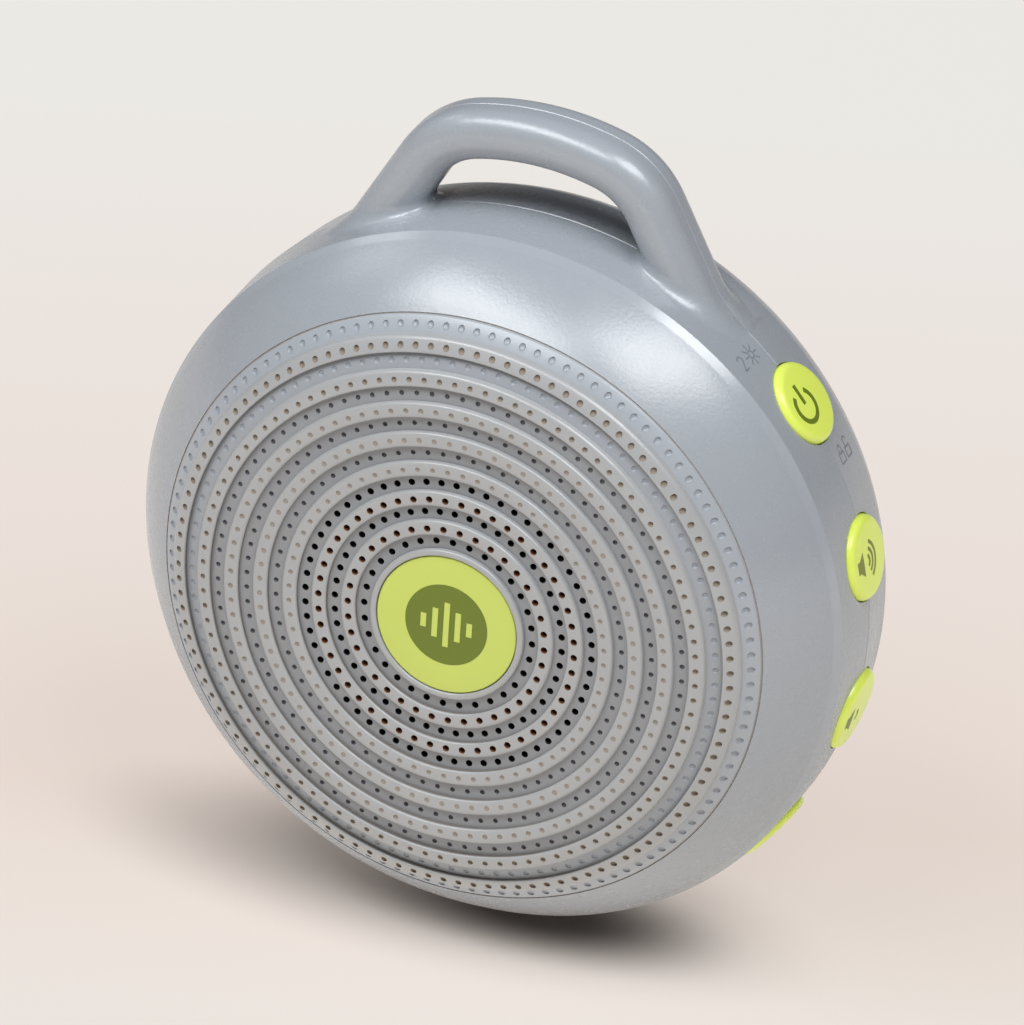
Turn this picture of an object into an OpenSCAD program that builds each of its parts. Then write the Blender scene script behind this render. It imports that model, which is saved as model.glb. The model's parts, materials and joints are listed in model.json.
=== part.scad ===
// White noise sound machine: a round two-piece casing with a carrying loop on top, a domed grille with
// rings of sound holes, four push buttons along the right side, and a speaker, a night light, a circuit
// board and a flat battery inside.
// The front faces -Y and +Z is up. The origin is on the rest plane, under the parting line.

/* [Casing] */
// Widest diameter, on the parting line
case_d = 89; // [88:0.25:92]
// Inset of the crease between the front shoulder and the side band
front_edge_in = 0.3; // [0.1:0.05:0.7]
// Distance from the parting line forward to that crease
front_edge_y = 8.25; // [7.5:0.25:9]
// Inset of the crease behind the side band
rear_edge_in = 0.7; // [0.3:0.05:1.1]
// Distance from the parting line back to that crease
rear_edge_y = 7; // [6.8:0.1:7.6]
// Distance from the parting line forward to the flat middle of the grille
face_y = 21; // [20.5:0.25:22]
// Distance from the parting line to the flat back
back_y = 16.5; // [16.5:0.25:18]
// Width of the curve around the flat back
back_curve_w = 13.5; // [12.5:0.25:14.5]
// Thickness of the casing's wall
wall = 2; // [1.6:0.1:2.2]
// Rounding along the front crease
edge_round = 2.3; // [1.5:0.1:3]

/* [Handle] */
// Height of the loop above the casing
handle_rise = 13; // [12:0.5:16]
// Thickness of the loop, seen from the front
handle_t = 6.2; // [5.8:0.1:6.6]
// Depth of the loop, from front to back
handle_depth = 8.2; // [7.6:0.1:9]
// Rounding of the loop's edges
handle_round = 2.8; // [2.2:0.1:2.9]
// Radius of the outside of the loop's top
handle_top_r = 35; // [32:1:40]
// Radius of the outside of the loop's shoulders
handle_corner_r = 13; // [12:0.5:14]
// Half the sweep of the top arc, in degrees
handle_top_angle = 15; // [14:0.5:16]
// Slope of the legs, in degrees
handle_leg_angle = 61; // [60:0.5:62]
// Wall of the hollow loop
handle_wall = 1.7; // [1.5:0.1:1.9]
// Fillet where the legs meet the casing
leg_fillet = 1.6; // [1:0.1:2]

/* [Grille] */
// Width of the casing's shoulder around the grille, seen from the front
shoulder_w = 6.7; // [6.3:0.1:7]
// Width of the grille's curved rim, seen from the front
grille_curve_w = 10.8; // [10.3:0.1:11.2]
// Radius of the curve that rounds it down to the seam
grille_curve_r = 16; // [15.5:0.25:17]
// Thickness of the grille
grille_t = 1.8; // [1.6:0.1:2]
// Height of the raised rings
ring_relief = 0.69; // [0.5:0.05:0.9]
// Diameter of a sound hole
sound_hole_d = 0.84; // [0.7:0.02:1]
// Outer diameter of the plain rim around the centre disc
hub_d = 19.4; // [19:0.1:19.8]
// Width of that rim
hub_rim_w = 0.75; // [0.6:0.05:1.1]

/* [Buttons] */
// Diameter of a button
button_d = 10.2; // [9.5:0.1:10.6]
// How far a button stands out of the casing
button_proud = 1.2; // [0.9:0.1:1.6]
// Angle between neighbouring buttons, in degrees
button_step = 26.3; // [25:0.1:26.8]
// Travel of a button
button_travel = 0.5; // [0.3:0.05:0.5]

/* [Speaker] */
// Room between the speaker's basket and the skirt of the grille
speaker_room = 9.75; // [9.4:0.05:10]
// Depth from the basket's front to the back of the magnet
speaker_depth = 18.3; // [17.5:0.1:18.8]
// Diameter of the magnet, as a share of the basket's
magnet_share = 0.56; // [0.54:0.01:0.58]
// Travel of the cone each way
cone_travel = 0.8; // [0.4:0.05:0.8]

/* [Battery and board] */
// Width of the battery, as a share of the casing's diameter
battery_w_share = 0.382; // [0.36:0.002:0.404]
// Height of the battery, as a share of the casing's diameter
battery_h_share = 0.562; // [0.54:0.002:0.57]
// Thickness of the battery
battery_t = 6; // [5.5:0.1:6.4]
// Diameter of the circuit board, as a share of the casing's
board_share = 0.82; // [0.81:0.002:0.826]
// Thickness of the circuit board
board_t = 1.2; // [1:0.1:1.4]

/* [Foot] */
// Height that the rubber foot holds the casing off the table
foot_proud = 0.3; // [0.2:0.05:0.5]
// Depth of the small flat under the casing
rest_flat = 0.45; // [0.35:0.05:0.6]

/* [Hidden] */
$fn = 72;

// Shared clearances, and the overrun of every cut
overrun = 1;
quarter = 90;
fit_gap = 0.03;
seam_gap = 0.15;

// Casing outline, front to back, as [radius, depth]
case_r = case_d / 2;
axis_h = case_r - rest_flat + foot_proud;
grille_r = case_r - shoulder_w;
grille_flat_r = grille_r - grille_curve_w;
seam_angle = asin(grille_curve_w / grille_curve_r);
seam_normal = [sin(seam_angle), -cos(seam_angle)];
dome_centre = [grille_flat_r, grille_curve_r - face_y];
seam_point = dome_centre + grille_curve_r * seam_normal;
front_edge = [case_r - front_edge_in, -front_edge_y];
shoulder_chord = front_edge - seam_point;
shoulder_turn = atan2(shoulder_chord[1], shoulder_chord[0]) - seam_angle;
shoulder_r = norm(shoulder_chord) / (2 * sin(shoulder_turn));
shoulder_centre = seam_point - shoulder_r * seam_normal;
rear_edge = [case_r - rear_edge_in, rear_edge_y];
back_flat_r = case_r - back_curve_w;
back_rise = back_y - rear_edge_y;
back_curve_r = (pow(rear_edge[0] - back_flat_r, 2) + pow(back_rise, 2)) / (2 * back_rise);
back_centre = [back_flat_r, back_y - back_curve_r];
front_slope = (case_r - front_edge[0]) / front_edge_y;
band_slope = (case_r - rear_edge[0]) / rear_edge_y;

// Rounding of the front crease: its centre lies on a line one rounding inside the side band
band_dir = ([case_r, 0] - front_edge) / norm([case_r, 0] - front_edge);
band_in = [-band_dir[1], band_dir[0]];
crease_arm = front_edge - shoulder_centre;
crease_run = crease_arm * band_dir;
crease_drop = crease_arm * band_in + shoulder_r;
crease_shift = -crease_run - sqrt(pow(crease_run, 2) - 2 * edge_round * crease_drop);
crease_centre = front_edge + crease_shift * band_dir + edge_round * band_in;
crease_touch = (crease_centre - shoulder_centre) / norm(crease_centre - shoulder_centre);
crease_lap = 0.005;

// Seat of the grille inside the front shell, and the locating lip between the shells
skirt_h = 4.25;
skirt_t = 2.7;
seat_y = seam_point[1] + skirt_h;
seat_t = 2;
seat_w = 6.3;
seat_in_r = grille_r - seat_w;
skirt_out_r = grille_r - seam_gap;
skirt_in_r = skirt_out_r - skirt_t;
lip_t = 0.7;
lip_h = 1.2;
lip_root = 1.5;
lip_out_r = case_r - wall - seam_gap;
lip_in_r = lip_out_r - lip_t;

// Loop handle: the centre line of its right half runs down from the top, through one shoulder, into a leg
handle_mid = handle_t / 2;
handle_half_y = handle_depth / 2;
top_arc_z = case_r + handle_rise - handle_top_r;
corner_arm = handle_top_r - handle_corner_r;
corner_centre = [corner_arm * sin(handle_top_angle), top_arc_z + corner_arm * cos(handle_top_angle)];
corner_mid_r = handle_corner_r - handle_mid;
leg_out = [sin(handle_leg_angle), cos(handle_leg_angle)];
leg_dir = [cos(handle_leg_angle), -sin(handle_leg_angle)];
leg_start = corner_centre + corner_mid_r * leg_out;
leg_root = 0.6;
loop_steps = 4;
shoulder_steps = 8;
fillet_steps = 5;
fillet_sweep = 75;
edge_steps = 5;

// Rows of holes, counted from the seam to the hub: even rows are raised, and the innermost are open
rows = 15;
open_row_holes = [32, 38, 48, 50, 60];
hub_r = hub_d / 2;
row_pitch = (grille_r - hub_r) / rows;
lens_r = hub_r - hub_rim_w - 2 * seam_gap;
lens_pocket = 1;
lens_t = 1.5;
hole_r = sound_hole_d / 2;

// Buttons, on the parting line, and the switches behind them
button_angles = [for (k = [3, 1, -1, -3]) k * button_step / 2];
button_r = button_d / 2;
button_gap = 0.2;
button_crown_r = 60;
button_edge = 0.8;
button_top = case_r + button_proud;
button_sag = button_crown_r - sqrt(pow(button_crown_r, 2) - pow(button_r, 2));
flange_lip = 0.9;
flange_t = 0.9;
flange_r = button_r + flange_lip;
flange_gap = 0.15;
wall_inner_r = case_r - wall;
flange_top = sqrt(pow(wall_inner_r, 2) / (1 + pow(band_slope, 2)) - pow(flange_r, 2)) - flange_gap;
stem_r = 2.5;
stem_h = 3;
stem_end = flange_top - flange_t - stem_h;
flange_pocket_r = flange_r + 2 * button_gap;

// Side-push switches on the board
switch_w = 6;
switch_l = 3.7;
switch_top = 1.8;
plunger_w = 2.4;
plunger_h = 1.6;
plunger_gap = 0.1;
plunger_out = 1.3;
plunger_in = 0.8;
switch_front = stem_end - plunger_out;
switch_back = switch_front - switch_l;
plunger_tail = switch_front - plunger_in;
pocket_end = plunger_tail - button_travel - plunger_gap;

// Board, its screws and its parts, on the board's front and rear faces
board_y = 2;
board_r = board_share * case_r;
board_rear = board_y + board_t;
board_fix_r = 0.822 * board_r;
board_fix_angles = [90, 210, 330];
socket_w = 7.5;
socket_h = 2.7;
socket_l = 5.7;
socket_wall = 0.35;
socket_inset = 3.5;
socket_out = case_r - socket_inset;
socket_tab = 10;
tab_root = 6;
socket_room = 0.9;
socket_round = 1.2;
tongue_t = 0.6;
tongue_w = 5.2;
tongue_short = 0.8;
opening_h = socket_h + socket_room;
led_angle = 165;
led_w = 1.6;
led_l = 1.8;
led_edge = 3.1;
led_in = board_r - led_edge;
pipe_r = 0.9;
pipe_y = board_rear + 1.2;
pipe_in = led_in + led_l + seam_gap;
pipe_collar_r = 1.5;
pipe_collar_t = 0.6;
pipe_out = case_r - band_slope * pipe_y - fit_gap;
pipe_collar_out = wall_inner_r - band_slope * (pipe_y + pipe_collar_r) - seam_gap;
chip_w = 7;
chip_t = 1.2;
chip_place = [-0.22, 0.27] * board_r;
amp_w = 5;
amp_h = 4;
amp_t = 1;
amp_place = [0.3, -0.33] * board_r;
cap_r = 2;
cap_h = 3.6;
cap_places = [[0.6, 0.22] * board_r, [0.6, 0.36] * board_r];
plug_w = 6;
plug_d = 4.6;
plug_h = 3;
wire_r = 0.55;
wire_x = 1.3;
wire_bend = 1.6;

// Battery on a foam pad against the back
battery_w = battery_w_share * case_d;
battery_h = battery_h_share * case_d;
pad_t = 0.5;
pad_rim = 3;
pad_y = back_y - wall - pad_t;
battery_y = pad_y - battery_t;
battery_round = 2.5;
battery_end = -battery_h / 2;
plug_drop = 3;
plug_z = battery_end - plug_drop;
lead_y = battery_y + battery_t / 2;

// Screws and bosses
screw_r = 1;
screw_head_r = 2.1;
screw_head_h = 1.4;
screw_slot = 0.5;
screw_slot_l = 2.4;
screw_slot_h = 0.7;
small_screw_r = 0.8;
small_head_r = 1.7;
small_head_h = 1;
hole_room = 0.2;
case_fix_r = 0.7865 * case_r;
case_fix_angles = [60, 120, 240, 300];
front_boss_r = 2.6;
rear_boss_r = 3.2;
boss_notch = 0.4;
boss_gap = 0.3;
recess_floor = 5;
screw_recess_r = screw_head_r + 0.3 * screw_r;
screw_bite = 7;
grille_fix_r = skirt_in_r + skirt_t / 2;
grille_fix_angles = [0, 90, 180, 270];
grille_bite = 3.2;
speaker_fix_angles = [45, 135, 225, 315];
speaker_bite = 2.2;
speaker_boss_r = 2.2;
board_boss_r = 2.6;
board_bite = 5.8;

// Light board on the grille's seat
light_t = 1;
light_w = 5.05;
light_out_r = skirt_in_r - boss_gap;
light_in_r = light_out_r - light_w;
light_y = seat_y - light_t;
light_led_r = light_in_r + 0.515 * light_w;
light_led_w = 2;
light_led_l = 1.6;
light_led_h = 0.8;
light_count = 6;
light_wire_r = light_in_r + 0.18 * light_w;
thin_wire_r = 0.4;

// Speaker, measured from the front of its basket's flange
speaker_r = skirt_in_r - speaker_room;
ear_r = 2.6;
ear_reach = 3.8;
speaker_fix_r = speaker_r + ear_reach;
basket_t = 0.8;
basket_rim = 3.6;
basket_hole_r = speaker_r - basket_rim;
gasket_t = 1.5;
gasket_in_r = basket_hole_r + 2 * seam_gap;
cloth_t = 0.3;
cloth_lap = 1;
inner_face = grille_t - face_y;
speaker_y = inner_face + gasket_t;
yoke_t = 1.8;
magnet_t = 4;
plate_t = 1.5;
magnet_r = magnet_share * speaker_r;
yoke_y = speaker_y + speaker_depth - yoke_t;
magnet_y = yoke_y - magnet_t;
plate_y = magnet_y - plate_t;
floor_y = plate_y - basket_t;
pole_r = 0.24 * speaker_r;
magnet_gap = 1;
plate_hole_r = pole_r + magnet_gap;
magnet_hole_r = plate_hole_r + magnet_gap;
coil_in_r = pole_r + 0.3 * magnet_gap;
coil_out_r = pole_r + 0.7 * magnet_gap;
coil_top = 5.6;
coil_y = speaker_y + coil_top;
coil_end = plate_y + plate_t + cone_travel;
cone_t = 0.4;
roll_r = 1.5;
roll_mid = basket_hole_r - roll_r;
cone_edge_r = roll_mid - roll_r;
cone_edge_y = speaker_y + cone_t;
cloth_r = cone_edge_r + cloth_lap;
cap_rise = 2.4;
spider_y = floor_y - 2 * basket_t - cone_travel;
spider_t = 0.3;
spider_out_r = speaker_r / 2;
spider_roll = 0.8;
spider_ledge = 0.095 * speaker_r;
window_w = 9;
lug_w = 6;
lug_in_r = 0.615 * speaker_r;
lug_out_r = basket_hole_r - basket_t;
lug_drop = 5.6;
lug_y = speaker_y + lug_drop;
speaker_wire_r = lug_out_r - basket_t;

// Rubber foot, let into the underside
foot_w = 15;
foot_l = 11;
foot_round = 1.5;
foot_y = -1;
foot_in = 0.55;
foot_floor = case_r - rest_flat - foot_in;

function row_r(n) = hub_r + row_pitch * (rows - n + 0.5);

// The casing's own axis runs along Y, at axis_h above the rest plane
module on_axis() {
    translate([0, 0, axis_h]) children();
}

// Turns a [radius, depth] profile about the casing's axis
module turned() {
    rotate([-90, 0, 0]) rotate_extrude() children();
}

// Sets a piece at an angle about the casing's axis, with its +X pointing outwards
module spoke(angle, r = 0, y = 0) {
    rotate([0, -angle, 0]) translate([r, y, 0]) children();
}

// A cylinder along +Y
module rod_y(r, y0, y1) {
    translate([0, y0, 0]) rotate([-90, 0, 0]) cylinder(h = y1 - y0, r = r);
}

// A cylinder along +X, which is outwards on a spoke
module rod_x(r, x0, x1) {
    translate([x0, 0, 0]) rotate([0, 90, 0]) rotate(quarter / 2) cylinder(h = x1 - x0, r = r);
}

// A rectangle in the [radius, depth] plane
module strip(r0, r1, y0, y1) {
    translate([r0, y0]) square([r1 - r0, y1 - y0]);
}

// A block centred on Z, from x0 to x1 and y0 to y1
module block(x0, x1, y0, y1, width) {
    translate([x0, y0, -width / 2]) cube([x1 - x0, y1 - y0, width]);
}

module rounded(width, height, r) {
    square([width - 2 * r, height], center = true);
    square([width, height - 2 * r], center = true);
    for (sx = [-1, 1], sy = [-1, 1])
        translate([sx * (width / 2 - r), sy * (height / 2 - r)]) circle(r);
}

// Outline of the front half of the casing, set in from its surface
module front_half(inset) {
    far = case_r;
    tip = dome_centre + far * seam_normal;
    difference() {
        polygon([[0, inset - face_y], [0, 0], [case_r - inset, 0],
            [front_edge[0] - inset, front_edge[1]],
            [front_edge[0] - inset - band_dir[0] * face_y, front_edge[1] - band_dir[1] * face_y],
            [grille_r, inset - face_y]]);
        difference() {
            polygon([dome_centre, tip, [tip[0], 0]]);
            translate(shoulder_centre) circle(shoulder_r - inset);
        }
        difference() {
            polygon([dome_centre, tip, [grille_flat_r, tip[1]]]);
            translate(dome_centre) circle(grille_curve_r - inset);
        }
    }
}

// The same outline with the crease between shoulder and band rounded
module front_outline() {
    far = 3 * edge_round;
    difference() {
        front_half(0);
        difference() {
            polygon([crease_centre, crease_centre - far * band_in,
                crease_centre + far * (crease_touch - band_in), crease_centre + far * crease_touch]);
            translate(crease_centre) circle(edge_round + crease_lap);
        }
    }
}

// Outline of the rear half of the casing, set in from its surface
module rear_half(inset) {
    difference() {
        polygon([[0, 0], [case_r - inset, 0], [case_r - inset - band_slope * back_y, back_y - inset],
            [0, back_y - inset]]);
        difference() {
            translate([back_flat_r, back_centre[1]]) square(case_r);
            translate(back_centre) circle(back_curve_r - inset);
        }
    }
}

// Half of the loop's cross-section, as [across, depth] points with their outward directions
function bar_half() = let (across = handle_mid - handle_round, depth = handle_half_y - handle_round) concat(
    [[[-handle_mid, 0], [-1, 0]]],
    [for (k = [0:edge_steps]) let (a = 180 - 90 * k / edge_steps, d = [cos(a), sin(a)])
        [[-across, depth] + handle_round * d, d]],
    [for (k = [0:edge_steps]) let (a = 90 - 90 * k / edge_steps, d = [cos(a), sin(a)])
        [[across, depth] + handle_round * d, d]],
    [[[handle_mid, 0], [1, 0]]]);

// Stations on the arcs of the loop's right half, as [point, outward direction]
function arc_station(centre, r, a) = let (d = [cos(a), sin(a)]) [centre + r * d, d];
function arc_stations() = concat(
    [for (k = [1:loop_steps])
        arc_station([0, top_arc_z], handle_top_r - handle_mid, 90 - handle_top_angle * k / loop_steps)],
    [for (k = [1:shoulder_steps])
        arc_station(corner_centre, corner_mid_r, 90 - handle_top_angle
            - (handle_leg_angle - handle_top_angle) * k / shoulder_steps)]);

// One ring of points across an arc
function arc_ring(station, section) = [for (q = section)
    let (p = station[0] + q[0][0] * station[1]) [p[0], q[0][1], p[1]]];

// One ring of points around the leg, all at one height above the side band, spread by the fillet
function leg_ring(height, spread, section, slope) = [for (q = section)
    let (
        at = q[0] + spread * q[1],
        from = leg_start + at[0] * leg_out,
        run = from * leg_dir,
        goal = case_r - slope * at[1] + height,
        p = from - (run + sqrt(pow(run, 2) - from * from + pow(goal, 2))) * leg_dir)
    [p[0], at[1], p[1]]];
function leg_rings(section, slope) = concat(
    [for (k = [0:fillet_steps]) let (a = fillet_sweep * k / fillet_steps)
        leg_ring(leg_fillet * (1 - sin(a)), leg_fillet * (1 - cos(a)), section, slope)],
    [leg_ring(-leg_root, leg_fillet * (1 - cos(fillet_sweep)), section, slope)]);
function flipped(rings) = [for (i = [len(rings) - 1:-1:0]) [for (p = rings[i]) [-p[0], p[1], p[2]]]];

// The half of the loop behind the parting line, for a side band that slopes in by the given share
module handle_half(slope) {
    section = bar_half();
    right = concat([for (s = arc_stations()) arc_ring(s, section)], leg_rings(section, slope));
    rings = concat(flipped(right), [arc_ring(arc_station([0, top_arc_z], handle_top_r - handle_mid, 90),
        section)], right);
    sides = len(section);
    last = len(rings) - 1;
    polyhedron([for (ring = rings, p = ring) p], concat(
        [for (i = [0:last - 1], j = [0:sides - 1]) let (k = (j + 1) % sides)
            [i * sides + j, (i + 1) * sides + k, i * sides + k]],
        [for (i = [0:last - 1], j = [0:sides - 1]) let (k = (j + 1) % sides)
            [i * sides + j, (i + 1) * sides + j, (i + 1) * sides + k]],
        [for (j = [1:sides - 2]) [0, j, j + 1]],
        [for (j = [1:sides - 2]) [last * sides, last * sides + j + 1, last * sides + j]]));
}

// The hollow inside the loop
module handle_channel() {
    across = handle_mid - handle_wall;
    depth = handle_half_y - handle_wall;
    stations = concat(arc_stations(), [[leg_start + handle_mid * leg_dir, leg_out]]);
    outer = [for (s = stations) s[0] + across * s[1]];
    inner = [for (s = stations) s[0] - across * s[1]];
    right = concat(outer, [for (i = [len(inner) - 1:-1:0]) inner[i]]);
    rotate([90, 0, 0])
        linear_extrude(2 * depth, center = true)
            polygon(concat([[0, top_arc_z + handle_top_r - handle_wall]], right,
                [[0, top_arc_z + handle_top_r - handle_t + handle_wall]],
                [for (i = [len(right) - 1:-1:0]) [-right[i][0], right[i][1]]]));
}

module button_holes() {
    for (a = button_angles)
        spoke(a) rod_x(button_r + button_gap, stem_end, button_top + overrun);
}

module foot_outline(room) {
    rounded(foot_w + 2 * room, foot_l + 2 * room, foot_round);
}

module foot_pocket() {
    translate([0, foot_y, -case_r]) linear_extrude(case_r - foot_floor) foot_outline(seam_gap);
    translate([-case_r, -case_r, -case_r - rest_flat]) cube([case_d, case_d, 2 * rest_flat]);
}

module front_shell() {
    color([0.73, 0.76, 0.79])
    on_axis() difference() {
        union() {
            turned() difference() {
                front_outline();
                front_half(wall);
                strip(-overrun, grille_r, -face_y - overrun, overrun);
            }
            turned() intersection() {
                front_half(0);
                union() {
                    strip(grille_r, grille_r + wall, seam_point[1], seat_y + seat_t);
                    strip(seat_in_r, grille_r + wall, seat_y, seat_y + seat_t);
                }
            }
            for (a = case_fix_angles)
                spoke(a, case_fix_r) rod_y(front_boss_r, seat_y + seat_t / 2, -boss_gap);
            mirror([0, 1, 0]) handle_half(front_slope);
        }
        handle_channel();
        button_holes();
        foot_pocket();
        for (a = case_fix_angles)
            spoke(a, case_fix_r) rod_y(screw_r + fit_gap, -screw_bite - boss_gap, overrun);
        for (a = grille_fix_angles)
            spoke(a, grille_fix_r) rod_y(small_screw_r + hole_room, seat_y - overrun, seat_y + 2 * seat_t);
    }
}

module rear_shell() {
    color([0.73, 0.76, 0.79])
    on_axis() difference() {
        union() {
            turned() difference() {
                rear_half(0);
                rear_half(wall);
            }
            difference() {
                turned() {
                    strip(lip_in_r, lip_out_r, -lip_h, lip_root);
                    strip(lip_in_r, wall_inner_r + seam_gap, fit_gap, lip_root);
                }
                for (a = button_angles)
                    spoke(a) rod_x(flange_pocket_r, stem_end, wall_inner_r);
            }
            intersection() {
                turned() rear_half(wall / 2);
                for (a = case_fix_angles)
                    spoke(a, case_fix_r) rod_y(rear_boss_r, 0, back_y);
            }
            for (a = board_fix_angles)
                spoke(a, board_fix_r) rod_y(board_boss_r, board_rear, back_y - wall / 2);
            handle_half(band_slope);
        }
        handle_channel();
        button_holes();
        foot_pocket();
        for (a = case_fix_angles)
            spoke(a, case_fix_r) {
                rod_y(screw_r + hole_room, -overrun, back_y);
                rod_y(screw_recess_r, recess_floor, back_y + overrun);
            }
        for (a = board_fix_angles)
            spoke(a, board_fix_r) rod_y(small_screw_r + fit_gap, board_y, board_rear + board_bite + boss_gap);
        spoke(180) translate([socket_out - overrun, board_rear + socket_h / 2, 0]) rotate([0, 90, 0])
            linear_extrude(case_d - 2 * socket_out + overrun)
                rounded(socket_w + 2 * socket_room, opening_h, socket_round);
        spoke(led_angle, 0, pipe_y) rod_x(pipe_r + 2 * fit_gap, lip_in_r - overrun, case_r + overrun);
    }
}

// The rows of sound holes from the hub outwards, every one or only the raised ones
module sound_holes(raised_only) {
    for (i = [0:len(open_row_holes) - 1])
        if (!raised_only || (rows - i) % 2 == 0)
            for (k = [0:open_row_holes[i] - 1])
                spoke(k * 360 / open_row_holes[i], row_r(rows - i))
                    rod_y(hole_r, -face_y - 2 * ring_relief, inner_face + grille_t);
}

module grille_plate() {
    color([0.66, 0.69, 0.72])
    on_axis() difference() {
        union() {
            turned() intersection() {
                difference() {
                    front_half(0);
                    front_half(grille_t);
                }
                strip(0, skirt_out_r, -face_y, seat_y);
            }
            turned() intersection() {
                front_half(0);
                strip(skirt_in_r, skirt_out_r, -face_y, seat_y);
            }
            for (a = speaker_fix_angles)
                spoke(a, speaker_fix_r) rod_y(speaker_boss_r, inner_face - grille_t / 2, speaker_y);
        }
        sound_holes(false);
        turned() strip(0, lens_r + seam_gap, -face_y - overrun, lens_pocket - face_y);
        for (a = speaker_fix_angles)
            spoke(a, speaker_fix_r) rod_y(small_screw_r + fit_gap, speaker_y - speaker_bite - boss_gap,
                speaker_y + overrun);
        for (a = grille_fix_angles)
            spoke(a, grille_fix_r) rod_y(small_screw_r + fit_gap, seat_y - grille_bite - boss_gap,
                seat_y + overrun);
    }
}

module grille_rings() {
    color([0.87, 0.86, 0.83])
    on_axis() difference() {
        turned() intersection() {
            difference() {
                front_half(-ring_relief);
                front_half(-fit_gap);
            }
            for (n = [2:2:rows - 1])
                strip(row_r(n) - row_pitch / 2, row_r(n) + row_pitch / 2, -face_y - 2 * ring_relief, 0);
        }
        sound_holes(true);
    }
}

module hub_rim() {
    color([0.8, 0.82, 0.83])
    on_axis() turned()
        strip(lens_r + 2 * seam_gap, hub_r, -face_y - ring_relief, -face_y - fit_gap);
}

module centre_disc() {
    color([0.84, 0.89, 0.43])
    on_axis() turned()
        strip(0, lens_r, lens_pocket - face_y - lens_t, lens_pocket - face_y - fit_gap);
}

module acoustic_cloth() {
    color([0.08, 0.08, 0.09])
    on_axis() turned() strip(0, cloth_r, inner_face + fit_gap, inner_face + cloth_t);
}

module speaker_gasket() {
    color([0.15, 0.15, 0.15])
    on_axis() turned() strip(gasket_in_r, speaker_r, inner_face + fit_gap, speaker_y);
}

module speaker_basket() {
    color([0.3, 0.31, 0.33])
    on_axis() difference() {
        union() {
            turned() {
                strip(basket_hole_r, speaker_r, speaker_y, speaker_y + basket_t);
                difference() {
                    polygon([[basket_hole_r, cone_edge_y], [basket_hole_r + basket_t, cone_edge_y],
                        [magnet_r + basket_t, plate_y], [magnet_r - basket_t, plate_y]]);
                    strip(0, speaker_r, plate_y - basket_t, plate_y);
                }
                strip(plate_hole_r + magnet_gap, magnet_r + basket_t / 2, floor_y, plate_y);
                strip(spider_out_r, spider_out_r + spider_ledge, spider_y + spider_t, floor_y);
            }
            for (a = speaker_fix_angles) {
                spoke(a)
                    block(speaker_r - basket_t, speaker_fix_r, speaker_y, speaker_y + basket_t, 2 * ear_r);
                spoke(a, speaker_fix_r) rod_y(ear_r, speaker_y, speaker_y + basket_t);
            }
            spoke(270) block(lug_in_r, lug_out_r, lug_y - basket_t, lug_y, lug_w);
        }
        for (a = speaker_fix_angles) {
            spoke(a, speaker_fix_r)
                rod_y(small_screw_r + hole_room, speaker_y - overrun, speaker_y + 2 * basket_t);
            spoke(a) block(spider_out_r + spider_ledge + basket_t, speaker_r, speaker_y + 2 * basket_t,
                floor_y - basket_t, window_w);
        }
    }
}

module speaker_surround() {
    color([0.12, 0.12, 0.12])
    on_axis() turned() difference() {
        translate([roll_mid, cone_edge_y]) circle(roll_r - fit_gap);
        translate([roll_mid, cone_edge_y]) circle(roll_r - fit_gap - cone_t);
        strip(0, speaker_r, cone_edge_y, cone_edge_y + 2 * roll_r);
    }
}

module speaker_cone() {
    color([0.2, 0.2, 0.21])
    on_axis() turned() polygon([[cone_edge_r, cone_edge_y], [cone_edge_r, cone_edge_y + cone_t],
        [coil_out_r + cone_t + fit_gap, coil_y + cone_t], [coil_out_r + fit_gap, coil_y + cone_t],
        [coil_out_r + fit_gap, coil_y]]);
}

module dust_cap() {
    cap_base = coil_out_r + cone_t;
    cap_r = (pow(cap_base, 2) + pow(cap_rise, 2)) / (2 * cap_rise);
    color([0.16, 0.16, 0.17])
    on_axis() turned() difference() {
        intersection() {
            translate([0, coil_y - cap_rise + cap_r]) circle(cap_r);
            strip(0, cap_base, coil_y - 2 * cap_rise, coil_y - cone_t);
        }
        translate([0, coil_y - cap_rise + cap_r]) circle(cap_r - cone_t);
    }
}

module speaker_spider() {
    roll_step = (spider_out_r - coil_out_r) / 3;
    color([0.85, 0.7, 0.4])
    on_axis() turned() {
        strip(coil_out_r + fit_gap, spider_out_r + spider_ledge, spider_y, spider_y + spider_t);
        for (k = [1, 2])
            translate([coil_out_r + k * roll_step, spider_y + spider_t / 2]) circle(spider_roll / 2);
    }
}

module voice_coil() {
    color([0.72, 0.42, 0.2])
    on_axis() turned() strip(coil_in_r, coil_out_r, coil_y - cone_t + fit_gap, coil_end);
}

module top_plate() {
    color([0.6, 0.61, 0.62])
    on_axis() turned() strip(plate_hole_r, magnet_r - basket_t / 2, plate_y, magnet_y);
}

module speaker_magnet() {
    color([0.2, 0.2, 0.22])
    on_axis() turned() strip(magnet_hole_r, magnet_r, magnet_y, yoke_y);
}

module speaker_yoke() {
    color([0.62, 0.63, 0.64])
    on_axis() turned() {
        strip(0, magnet_r - basket_t / 2, yoke_y, yoke_y + yoke_t);
        strip(0, pole_r, plate_y, yoke_y);
    }
}

// A screw along Y: its head starts at y and stands back to y + head_h, and its shank runs forward
module screw(y, shank, r, head_r, head_h) {
    difference() {
        union() {
            rod_y(head_r, y, y + head_h);
            rod_y(r, y - shank, y);
        }
        for (turn = [0, 90])
            rotate([0, turn, 0])
                block(-screw_slot_l / 2, screw_slot_l / 2, y + head_h - screw_slot_h, y + head_h + overrun,
                    screw_slot);
    }
}

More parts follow.
